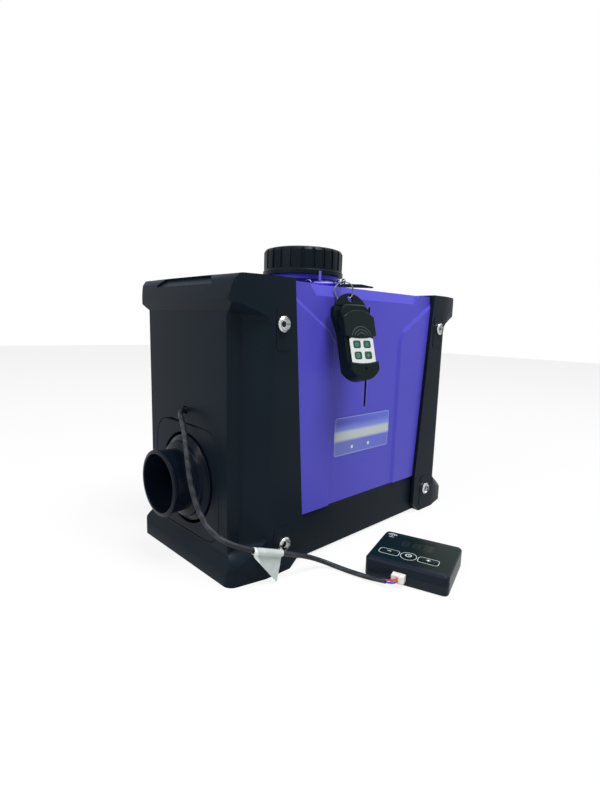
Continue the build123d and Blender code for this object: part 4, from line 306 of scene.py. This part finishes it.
def eased_copy(node, edge_width, body="case", soften=30.0, loops=2, broad=None):
    """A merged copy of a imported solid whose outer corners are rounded, put in its place.

    soften is the least angle, in degrees, of an edge that is rounded.  broad is the radius of the
    long outer corners, and how far from the case's middle they begin.
    """
    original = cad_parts[node]
    piece = bpy.data.objects.new(f"{node}_finished", original.data.copy())
    bpy.context.collection.objects.link(piece)
    bpy.ops.object.select_all(action="DESELECT")
    piece.select_set(True)
    bpy.context.view_layer.objects.active = piece
    if piece.data.has_custom_normals:
        bpy.ops.mesh.customdata_custom_splitnormals_clear()
    bpy.ops.object.mode_set(mode="EDIT")
    bpy.ops.mesh.select_all(action="SELECT")
    bpy.ops.mesh.remove_doubles(threshold=0.00001)
    bpy.ops.mesh.dissolve_limited(angle_limit=math.radians(1.0))
    if broad:
        bpy.ops.mesh.select_all(action="DESELECT")
        round_long_edges(piece.data, *broad)
    bpy.ops.object.mode_set(mode="OBJECT")
    rounding = piece.modifiers.new("rounding", "BEVEL")
    rounding.width = edge_width
    rounding.segments = loops
    rounding.limit_method = "ANGLE"
    rounding.angle_limit = math.radians(soften)
    bpy.ops.object.modifier_apply(modifier="rounding")
    bpy.ops.object.shade_smooth_by_angle(angle=smooth_angle)
    flat_faces = piece.modifiers.new("flat_faces", "WEIGHTED_NORMAL")
    flat_faces.keep_sharp = True
    bpy.ops.object.modifier_apply(modifier="flat_faces")
    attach(piece, body)
    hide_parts(node)
    return piece


def dress(piece, material):
    """Gives a piece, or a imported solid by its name, one material."""
    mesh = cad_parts[piece].data if isinstance(piece, str) else piece.data
    mesh.materials.clear()
    mesh.materials.append(material)


def moulded(name, dark, light, roughness, grain=0.35, gloss=0.3, grain_scale=2600.0, marks=None):
    """Moulded plastic: a cloudy two-tone colour, a fine grain and slightly uneven gloss.

    marks takes the place on the piece and gives what is printed or sunk there: a list of masks,
    each with its colour, and the height of what is sunk.
    """
    material, shader, begin = blank_material(name)
    place = begin.node("ShaderNodeTexCoord", output="Object")
    cloud = begin.node("ShaderNodeTexNoise", {"Vector": place, "Scale": 14.0, "Detail": 4.0})
    specks = begin.node(
        "ShaderNodeTexNoise", {"Vector": place, "Scale": grain_scale, "Detail": 2.0}
    )
    colour = cloud.blend(dark, light)
    relief = begin.node(
        "ShaderNodeBump", {"Height": specks, "Strength": grain, "Distance": 0.00012}
    )
    printed, sunk = marks(place) if marks else ([], None)
    for mask, ink in printed:
        colour = mask.blend(colour, ink) if mask else ink
    if sunk:
        relief = begin.node(
            "ShaderNodeBump",
            {"Height": 1.0 - sunk, "Strength": 1.0, "Distance": 0.0005, "Normal": relief},
        )
    join_up(
        shader,
        Base_Color=colour,
        Roughness=cloud * 0.1 + specks * 0.06 + (roughness - 0.08),
        Specular_IOR_Level=gloss,
        Normal=relief,
    )
    return material


matt_black = moulded(
    "matt_black_abs", (0.0045, 0.0085, 0.0130), (0.0072, 0.0125, 0.0190), 0.36, gloss=0.05
)
for node in ("left_end_cap", "right_end_cap"):
    dress(eased_copy(node, 0.0008, broad=(cap_corner_radius, cap_corners_from)), matt_black)
dress(eased_copy("base_tray", 0.0012), matt_black)
for node in ("outlet_plate", "inlet_grille"):
    dress(eased_copy(node, 0.0004), matt_black)

# ---- Fuel tank
# Blow-moulded violet-blue polyethylene, satin, with soft corners round its sunk front panel, its
# top bevel and its neck.  A level slot runs down the middle of the front; the shade in it is
# painted dark, with a painted highlight round its edge.
violet, violet_shader, start = blank_material("violet_polyethylene")
here = start.node("ShaderNodeTexCoord", output="Object")
slot_middle = (-0.0023, -0.08, 0.200)
slot_half_length, slot_half_width, rim_half_width = 51.8, 2.1, 3.3
slot_across = here.along(slot_middle, (1, 0, 0))
slot_up = here.along(slot_middle, (0, 0, 1))
slot_front = (here.along(slot_middle, (0, -1, 0)) + 6.0).soften(0.5)
slot_far = slot_across.far((slot_up.size() - slot_half_length).larger(0.0))
# Painted shade fills the slot, and the lighter band round it is a painted highlight on its edge.
slot_painted_shade = (slot_half_width - slot_far).soften(0.4) * slot_front
slot_edge_highlight = (rim_half_width - slot_far).soften(0.6) * slot_front
cloud = start.node("ShaderNodeTexNoise", {"Vector": here, "Scale": 9.0, "Detail": 3.0})
ripple = start.node("ShaderNodeTexNoise", {"Vector": here, "Scale": 160.0, "Detail": 2.0})
join_up(
    violet_shader,
    Base_Color=slot_painted_shade.blend(
        slot_edge_highlight.blend(
            cloud.blend((0.056, 0.050, 0.405), (0.070, 0.064, 0.47)), (0.095, 0.090, 0.58)
        ),
        (0.006, 0.006, 0.030),
    ),
    Roughness=cloud * 0.08 + 0.38,
    Specular_IOR_Level=0.2,
    Normal=start.node("ShaderNodeBump", {"Height": ripple, "Strength": 0.12, "Distance": 0.0004}),
)
tank = eased_copy("fuel_tank", 0.0016, soften=14.0, loops=3)
dress(tank, violet)
# The strip in the slot is painted dark as the shadow inside it.
slot_shadow_paint = moulded(
    "level_slot_shadow", (0.003, 0.003, 0.014), (0.005, 0.005, 0.020), 0.6, gloss=0.1
)
dress("level_strip", slot_shadow_paint)

# ---- Filler cap
# A broad black screw cap with two dozen grip ribs over the violet neck, with a rubber seal under
# its roof.
satin_black = moulded(
    "satin_black_nylon", (0.0032, 0.0068, 0.0095), (0.0050, 0.0100, 0.0135), 0.34, gloss=0.07
)
dress(eased_copy("fuel_cap", 0.0006, body="filler_cap"), satin_black)
rubber = moulded("black_rubber", (0.008, 0.008, 0.009), (0.014, 0.014, 0.015), 0.75, gloss=0.15)
dress("cap_seal", rubber)

# ---- Warm-air spigot
# Glossy navy-black nylon: a bead round the mouth, a plain tube, and a stepped shoulder that comes
# through the cover plate with a dark gap all round.
navy_gloss = moulded(
    "navy_gloss_nylon", (0.0030, 0.0055, 0.011), (0.0050, 0.0085, 0.016), 0.2, grain=0.05, gloss=0.07
)
dress(eased_copy("outlet_spigot", 0.0004), navy_gloss)
dress("outlet_duct", satin_black)
dress("inlet_duct", satin_black)

# ---- Heater core and fuel supply
# Hidden in the tunnel: cast aluminium exchanger and burner housing, a steel motor, a black fan and
# a two-part plastic air jacket, with the fuel pump behind the left end panel.


def metal(name, colour, roughness, scale=300.0, depth=0.15):
    """Bare metal with fine uneven scuffs."""
    material, shader, begin = blank_material(name)
    place = begin.node("ShaderNodeTexCoord", output="Object")
    scuff = begin.node("ShaderNodeTexNoise", {"Vector": place, "Scale": scale, "Detail": 5.0})
    join_up(
        shader,
        Base_Color=scuff.blend(tuple(c * 0.8 for c in colour), colour),
        Metallic=1.0,
        Roughness=scuff * 0.2 + (roughness - 0.1),
        Normal=begin.node(
            "ShaderNodeBump", {"Height": scuff, "Strength": depth, "Distance": 0.0002}
        ),
    )
    return material


cast_metal = metal("cast_aluminium", (0.45, 0.45, 0.44), 0.5, depth=0.4)
steel = metal("plain_steel", (0.55, 0.55, 0.56), 0.35)
board_green = moulded("circuit_board", (0.012, 0.09, 0.03), (0.02, 0.13, 0.05), 0.45)
for node in ("heat_exchanger", "burner_housing", "mount_block", "combustion_impeller"):
    dress(node, cast_metal)
for node in ("burner_tube", "blower_motor", "motor_shaft", "glow_plug", "exhaust_stub"):
    dress(node, steel)
for node in ("fuel_pump", "tank_outlet"):
    dress(node, steel)
for node in ("jacket_lower", "jacket_upper", "fan_wheel", "air_intake_stub", "power_gland"):
    dress(node, satin_black)
for node in ("fuel_line", "fuel_feed", "cord_clamp"):
    dress(node, rubber)
dress("control_board", board_green)

# ---- Screws
# Eight low-headed screws with hexagon sockets, zinc plated, on faint pads at the corners, with
# painted shade in the sockets and round each head.
high_screw = (130.1, 232.8)
low_screw = (123.0, 28.6)
socket_radius = 2.7
crown_radius = 5.4


def painted_socket_shade(place):
    """Painted shade in the hexagon sockets and in a ring round each head,
    at two heights on both sides and both ends.
    """
    along = place.along((0, 0, 0), (1, 0, 0)).size()
    up = place.along((0, 0, 0), (0, 0, 1))
    high = (along - high_screw[0]).far(up - high_screw[1])
    low = (along - low_screw[0]).far(up - low_screw[1])
    nearest = high.smaller(low)
    socket = (socket_radius - nearest).soften(0.3)
    # A ring of painted shade where each head meets its pad.
    crease = (0.35 - (nearest - crown_radius).size()).soften(0.3)
    return socket.larger(crease * 0.6)


socket_zinc, zinc_shader, start = blank_material("bright_zinc_screws")
here = start.node("ShaderNodeTexCoord", output="Object")
scuff = start.node("ShaderNodeTexNoise", {"Vector": here, "Scale": 700.0, "Detail": 5.0})
shade = painted_socket_shade(here)
join_up(
    zinc_shader,
    Base_Color=shade.blend(
        scuff.blend((0.50, 0.52, 0.53), (0.68, 0.70, 0.70)), (0.02, 0.022, 0.024)
    ),
    Metallic=1.0,
    Roughness=scuff * 0.15 + 0.15,
    Normal=start.node("ShaderNodeBump", {"Height": scuff, "Strength": 0.15, "Distance": 0.0002}),
)
dress(eased_copy("cap_screws", 0.00035, loops=3), socket_zinc)

# ---- Tie, clasp, chain and ring
# A slack black cable tie round the filler neck carries a plated clasp, tinted violet as a painted
# reflection of the tank, three bright links and a ring of spring wire.
dress(eased_copy("zip_tie", 0.0003), satin_black)
# The clasp's violet colour is a painted reflection of the tank on its bright plating.
clasp_violet_reflection = metal("plated_clasp_painted_violet_reflection", (0.13, 0.12, 0.55), 0.3, scale=700.0)
ring_wire = metal("bright_spring_wire", (0.17, 0.175, 0.19), 0.22, scale=700.0)
dress(eased_copy("clasp_body", 0.0002), clasp_violet_reflection)
for node in ("chain_link_1", "chain_link_2", "chain_link_3"):
    dress(eased_copy(node, 0.00035, loops=3), ring_wire)
dress(eased_copy("key_ring", 0.0001, body="ring"), ring_wire)

# ---- Remote
# A black key-ring remote in glossy plastic: two shells, a sliding cover with grip ridges, and four
# dark green keys with plain pale marks in a bright plated frame.
remote_middle = (-0.0484, -0.092, 0.25875)
remote_turn = math.radians(8)
remote_right = (math.cos(remote_turn), -math.sin(remote_turn), 0)
remote_up = (0.036021, 0.2563, 0.965926)
remote_out = (-0.134431, -0.956526, 0.258819)
ridges_drop = 42.5
ridge_radii = (7.0, 10.0, 13.0)
keys_drop = 51.8
key_across, key_rise = 6.45, 5.3


def on_remote(place):
    """Millimetres to the right, up and out of the remote's face."""
    return [place.along(remote_middle, way) for way in (remote_right, remote_up, remote_out)]


def remote_ridges(place):
    """Three curved grip ridges over the cover's lower edge."""
    right, up, out = on_remote(place)
    above = up + ridges_drop
    reach = right.far(above)
    ridge = None
    for radius in ridge_radii:
        one = (0.5 - (reach - radius).size()).soften(0.5)
        ridge = ridge.larger(one) if ridge else one
    ridge = ridge * (above - 4.5).soften(0.6) * (out - 9.8).soften(0.2)
    return [(ridge, (0.040, 0.052, 0.052))], ridge


def key_marks(place):
    """A ring, two bars, a square and a cross, one on each key."""
    right, up, out = on_remote(place)
    left_key = (0.0 - right).soften(0.1)
    from_middle = up + keys_drop
    top_key = from_middle.soften(0.1)
    across = right.size() - key_across
    rise = from_middle.size() - key_rise
    ring = (0.4 - (across.far(rise) - 1.6).size()).soften(0.25)
    bars = (0.4 - (across.size() - 1.0).size()).soften(0.25) * (1.9 - rise.size()).soften(0.25)
    square = (0.4 - (across.size().larger(rise.size()) - 1.5).size()).soften(0.25)
    cross = (0.45 - across.size().smaller(rise.size())).soften(0.25)
    cross = cross * (1.8 - across.size().larger(rise.size())).soften(0.25)
    upper = left_key * ring + (1.0 - left_key) * bars
    lower = left_key * square + (1.0 - left_key) * cross
    mark = (top_key * upper + (1.0 - top_key) * lower) * (out - 9.0).soften(0.3)
    return [(mark, (0.70, 0.80, 0.76))], None


remote_black = moulded(
    "remote_gloss_black", (0.0035, 0.0075, 0.0080), (0.0055, 0.0110, 0.0115), 0.26, gloss=0.07
)
ridged_black = moulded(
    "remote_cover_black",
    (0.0035, 0.0075, 0.0080),
    (0.0055, 0.0110, 0.0115),
    0.26,
    gloss=0.1,
    marks=remote_ridges,
)
key_green = moulded(
    "dark_green_key", (0.002, 0.060, 0.038), (0.004, 0.080, 0.052), 0.35, marks=key_marks
)

# The front shell carries the bright frame, so its shader turns to plated metal round the keys.
framed_black, framed_shader, start = blank_material("remote_front_with_bright_frame")
here = start.node("ShaderNodeTexCoord", output="Object")
right, up, out = on_remote(here)
haze = start.node("ShaderNodeTexNoise", {"Vector": here, "Scale": 420.0, "Detail": 3.0})
frame_half_width, frame_half_height, frame_drop = 15.2, 12.6, 52.35
frame_low, frame_high = 8.6, 9.3
plated = (frame_half_width - right.size()).soften(0.15)
plated = plated * (frame_half_height - (up + frame_drop).size()).soften(0.15)
plated = plated * (out - frame_low).soften(0.1) * (frame_high - out).soften(0.1)
# It ends where the two bowed edges of the closed cover come to lie, so the cover hides all of it.
cover_half_width, cover_top_drop, cover_foot_drop = 19.7, 37.5, 64.6
cover_top_bow, cover_foot_bow = 6.6, 2.4
bow = right * right * (1.0 / cover_half_width**2)
plated = plated * (-cover_top_drop - up - bow * cover_top_bow).soften(0.15)
plated = plated * (up + cover_foot_drop - bow * cover_foot_bow).soften(0.15)
join_up(
    framed_shader,
    Base_Color=plated.blend(
        haze.blend((0.0035, 0.0075, 0.0080), (0.0055, 0.011, 0.0115)),
        haze.blend((0.60, 0.62, 0.63), (0.78, 0.80, 0.80)),
    ),
    Metallic=plated * 0.8,
    Roughness=plated * 0.06 + haze * 0.08 + 0.2,
    Specular_IOR_Level=0.07,
    Normal=start.node("ShaderNodeBump", {"Height": haze, "Strength": 0.1, "Distance": 0.0002}),
)
dress(eased_copy("fob_back", 0.0008, body="remote"), remote_black)
dress(eased_copy("fob_front", 0.0006, body="remote"), framed_black)
dress(eased_copy("fob_cover", 0.0008, body="remote_cover"), ridged_black)
for i in range(1, 5):
    dress(eased_copy(f"fob_button_{i}", 0.0005, body=f"remote_key_{i}"), key_green)

# ---- Controller
# A black box on the floor with a printed top: a smoked window with three dim figures, an aerial
# sign, and three keys in pale outlines.  A white plug takes two thin wires in its cable side.
desk_middle = (-0.0237, -0.1683, 0.0188)
desk_turn = math.radians(-72)
desk_right = (math.cos(desk_turn), math.sin(desk_turn), 0)
desk_up = (-math.sin(desk_turn), math.cos(desk_turn), 0)
key_row = -12.6
key_columns = {"minus": -21.8, "power": -3.0, "plus": 15.8}
window_rise = 12.6
figure_columns = (-12.6, -1.5, 9.6)
aerial_column, aerial_row, aerial_foot_row = -30.1, 23.4, 20.8
film_half_length, film_half_width = 43.6, 27.6


def line(distance, width=0.5):
    """A printed line of one width where a distance is nothing."""
    return (width / 2 - distance.size()).soften(0.2)


def pill(across, up, half_length, half_width, corner):
    """How far a place lies outside a rounded oblong."""
    past_end = (across.size() - (half_length - corner)).larger(0.0)
    past_side = (up.size() - (half_width - corner)).larger(0.0)
    return past_end.far(past_side) - corner


def on_desk(place):
    """Millimetres to the right and up over the controller's face."""
    return place.along(desk_middle, desk_right), place.along(desk_middle, desk_up)


def top_print(place):
    """The pale lines round the three keys and the aerial sign."""
    right, up = on_desk(place)
    top = (place.along(desk_middle, (0, 0, 1)) + 0.35).soften(0.1)
    round_keys = line((right - key_columns["power"]).far(up - key_row) - 7.6)
    for name in ("minus", "plus"):
        oblong = pill(right - key_columns[name], up - key_row, 9.6, 5.4, 3.0)
        round_keys = round_keys.larger(line(oblong))
    aerial_right = right - aerial_column
    aerial_reach = aerial_right.far(up - aerial_row)
    waves = line(aerial_reach - 3.0, 0.9).larger(line(aerial_reach - 5.2, 0.9))
    waves = waves.larger((0.9 - aerial_reach).soften(0.2))
    waves = waves * (up - 23.0 - aerial_right.size() * 0.6).soften(0.3)
    foot = (2.6 - aerial_right.size()).soften(0.2) * line(up - aerial_foot_row, 0.8)
    ink = round_keys.larger(waves.larger(foot))
    outside = pill(right, up, film_half_length, film_half_width, 2.0)
    film = (0.0 - outside).soften(0.5) * top
    return [(film, (0.0012, 0.0085, 0.0065)), (top * ink, (0.55, 0.60, 0.59))], None


def key_print(place):
    """Minus, power and plus signs, each in the middle of its own key."""
    right, up = on_desk(place)
    up = up - key_row
    at_minus = right - key_columns["minus"]
    at_power = right - key_columns["power"]
    at_plus = right - key_columns["plus"]
    minus = (1.9 - at_minus.size()).soften(0.2) * line(up, 0.8)
    ring = line(at_power.far(up) - 2.6, 0.8)
    ring = ring * (1.0 - (0.8 - at_power.size()).soften(0.2) * up.soften(0.2))
    bar = line(at_power, 0.7) * (1.5 - (up - 1.7).size()).soften(0.2)
    plus = line(at_plus, 0.8) * (2.0 - up.size()).soften(0.2)
    plus = plus.larger(line(up, 0.8) * (2.0 - at_plus.size()).soften(0.2))
    top = (place.along(desk_middle, (0, 0, 1)) - 0.5).soften(0.1)
    ink = minus.larger(ring.larger(bar.larger(plus)))
    return [(top * ink, (0.70, 0.75, 0.74))], None


def dim_figures(place):
    """Three unlit seven-bar figures behind the window."""
    right, up = on_desk(place)
    up = up - window_rise
    figures = None
    for middle in figure_columns:
        across = right - middle
        figure = line(pill(across, up, 2.9, 5.2, 0.6), 1.1)
        figure = figure.larger(line(up, 1.1) * (2.6 - across.size()).soften(0.2))
        figures = figures.larger(figure) if figures else figure
    return [(figures * 0.5, (0.022, 0.034, 0.026))], None


controller_black = moulded(
    "controller_black_abs", (0.0070, 0.0110, 0.0180), (0.0100, 0.0150, 0.0235), 0.36, grain=0.1,
    gloss=0.14,
)
printed_black = moulded(
    "controller_printed_top", (0.0070, 0.0110, 0.0180), (0.0100, 0.0150, 0.0235), 0.36, grain=0.1,
    gloss=0.08, marks=top_print,
)
key_black = moulded(
    "controller_printed_key", (0.0012, 0.0085, 0.0065), (0.0020, 0.0100, 0.0080), 0.36, grain=0.1,
    gloss=0.08, marks=key_print,
)
window = moulded(
    "smoked_window", (0.0020, 0.0070, 0.0060), (0.0030, 0.0085, 0.0075), 0.3, grain=0.0,
    gloss=0.1, marks=dim_figures,
)
dress(eased_copy("controller_bottom", 0.0005), controller_black)
dress(eased_copy("controller_top", 0.0005), printed_black)
for name in ("minus", "power", "plus"):
    dress(eased_copy(f"key_{name}", 0.0003, body=f"{name}_key"), key_black)
dress("controller_display", window)
dress("controller_board", board_green)
plug_white = moulded("white_nylon_plug", (0.62, 0.61, 0.58), (0.72, 0.71, 0.68), 0.4)
plug = eased_copy("controller_plug", 0.0005)
dress(plug, plug_white)
wires_middle = (-0.0669, -0.1722, 0.0065)


def two_wires(place):
    """One red wire, and a blue one below it."""
    low_wire = (0.0 - place.along(wires_middle, (0, 0, 1))).soften(0.1)
    return [(low_wire, (0.01, 0.04, 0.45))], None


wire_sheath = moulded(
    "red_and_blue_wire", (0.50, 0.02, 0.02), (0.60, 0.04, 0.03), 0.35, marks=two_wires
)
dress("plug_wires", wire_sheath)

# ---- Cable flag
# A blank film flag folded over the cable along its whole top edge, creased and grubby from
# handling, whose tip hangs to the floor.  A painted highlight runs down its fold.
film_thickness = 0.0003
film_slack = 0.0004
flag_start = Vector(cable_points[10])
flag_run = Vector(cable_points[11]) - flag_start
film, film_shader, start = blank_material("pale_green_film")
here = start.node("ShaderNodeTexCoord", output="Object")
down_flag = here.along(tuple(flag_start), (0, 0, -1))
along_flag = here.along(tuple(flag_start), tuple(flag_run.normalized()))
smudge = start.node("ShaderNodeTexNoise", {"Vector": here, "Scale": 160.0, "Detail": 4.0})
crease = start.node("ShaderNodeTexNoise", {"Vector": here, "Scale": 60.0, "Detail": 1.0})
# A painted highlight where the film bends round its fold.
fold_highlight = (1.6 - (along_flag - 2.0 - down_flag * 0.62).size()).soften(0.8)
join_up(
    film_shader,
    Base_Color=fold_highlight.blend(
        smudge.blend((0.36, 0.41, 0.40), (0.52, 0.57, 0.55)), (0.74, 0.80, 0.79)
    ),
    Roughness=smudge * 0.15 + 0.35,
    Specular_IOR_Level=0.3,
    Normal=start.node("ShaderNodeBump", {"Height": crease, "Strength": 0.6, "Distance": 0.002}),
)
flag = eased_copy("cord_tag", 0.0001)
dress(flag, film)

bpy.ops.object.select_all(action="DESELECT")
bpy.ops.mesh.primitive_cylinder_add(
    vertices=28,
    radius=cable_diameter / 2 + film_slack,
    depth=flag_run.length - 0.002,
    end_fill_type="NOTHING",
    location=flag_start + flag_run / 2,
    rotation=flag_run.to_track_quat("Z", "Y").to_euler(),
)
flag_fold = bpy.context.object
flag_fold.name = "cord_tag_fold"
bpy.ops.object.transform_apply(location=True, rotation=True, scale=True)
film_wall = flag_fold.modifiers.new("film_wall", "SOLIDIFY")
film_wall.thickness = film_thickness
film_wall.offset = 1.0
bpy.ops.object.modifier_apply(modifier="film_wall")
bpy.ops.object.shade_smooth_by_angle(angle=smooth_angle)
dress(flag_fold, film)
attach(flag_fold, "case")

# ---- Label
# A printed film plate let into the tank's front: violet shading to blue, a pale band across its
# middle that is left bare, and two small pale squares below it.
label_middle = (-0.002, -0.08, 0.1182)
label_half_length, label_half_height = 45.6, 19.8
square_columns, squares_row, square_half = (-18.0, 10.0), -13.2, 1.6


def label_print(place):
    """Printed shading, bare band and two squares, with a painted highlight round the edge."""
    right = place.along(label_middle, (1, 0, 0))
    up = place.along(label_middle, (0, 0, 1))
    band = (5.0 - (up - 0.2).size()).soften(3.2)
    glow = (6.5 - (up - 3.0).size()).soften(9.0)
    lower = (0.0 - up - 5.0).soften(3.0)
    brighter = (right * 0.011 + up * 0.012).soften(1.0)
    off_row = (up - squares_row).size()
    squares = None
    for column in square_columns:
        square = (square_half - (right - column).size().larger(off_row)).soften(0.3)
        squares = squares.larger(square) if squares else square
    # The pale line round the plate is a painted highlight on its edge.
    edge_highlight = line(pill(right, up, label_half_length, label_half_height, 2.0), 0.7)
    ground = brighter.blend((0.060, 0.050, 0.350), (0.095, 0.125, 0.540))
    below = brighter.blend((0.120, 0.150, 0.450), (0.105, 0.115, 0.520))
    return [
        (None, ground),
        (glow, (0.20, 0.25, 0.60)),
        (lower, below),
        (band, (0.42, 0.47, 0.47)),
        (squares, (0.58, 0.61, 0.62)),
        (edge_highlight, (0.24, 0.26, 0.62)),
    ], None


label_film = moulded(
    "printed_film_plate", (0.06, 0.05, 0.35), (0.09, 0.12, 0.54), 0.3, grain=0.05, gloss=0.2,
    marks=label_print,
)
dress("label_plate", label_film)
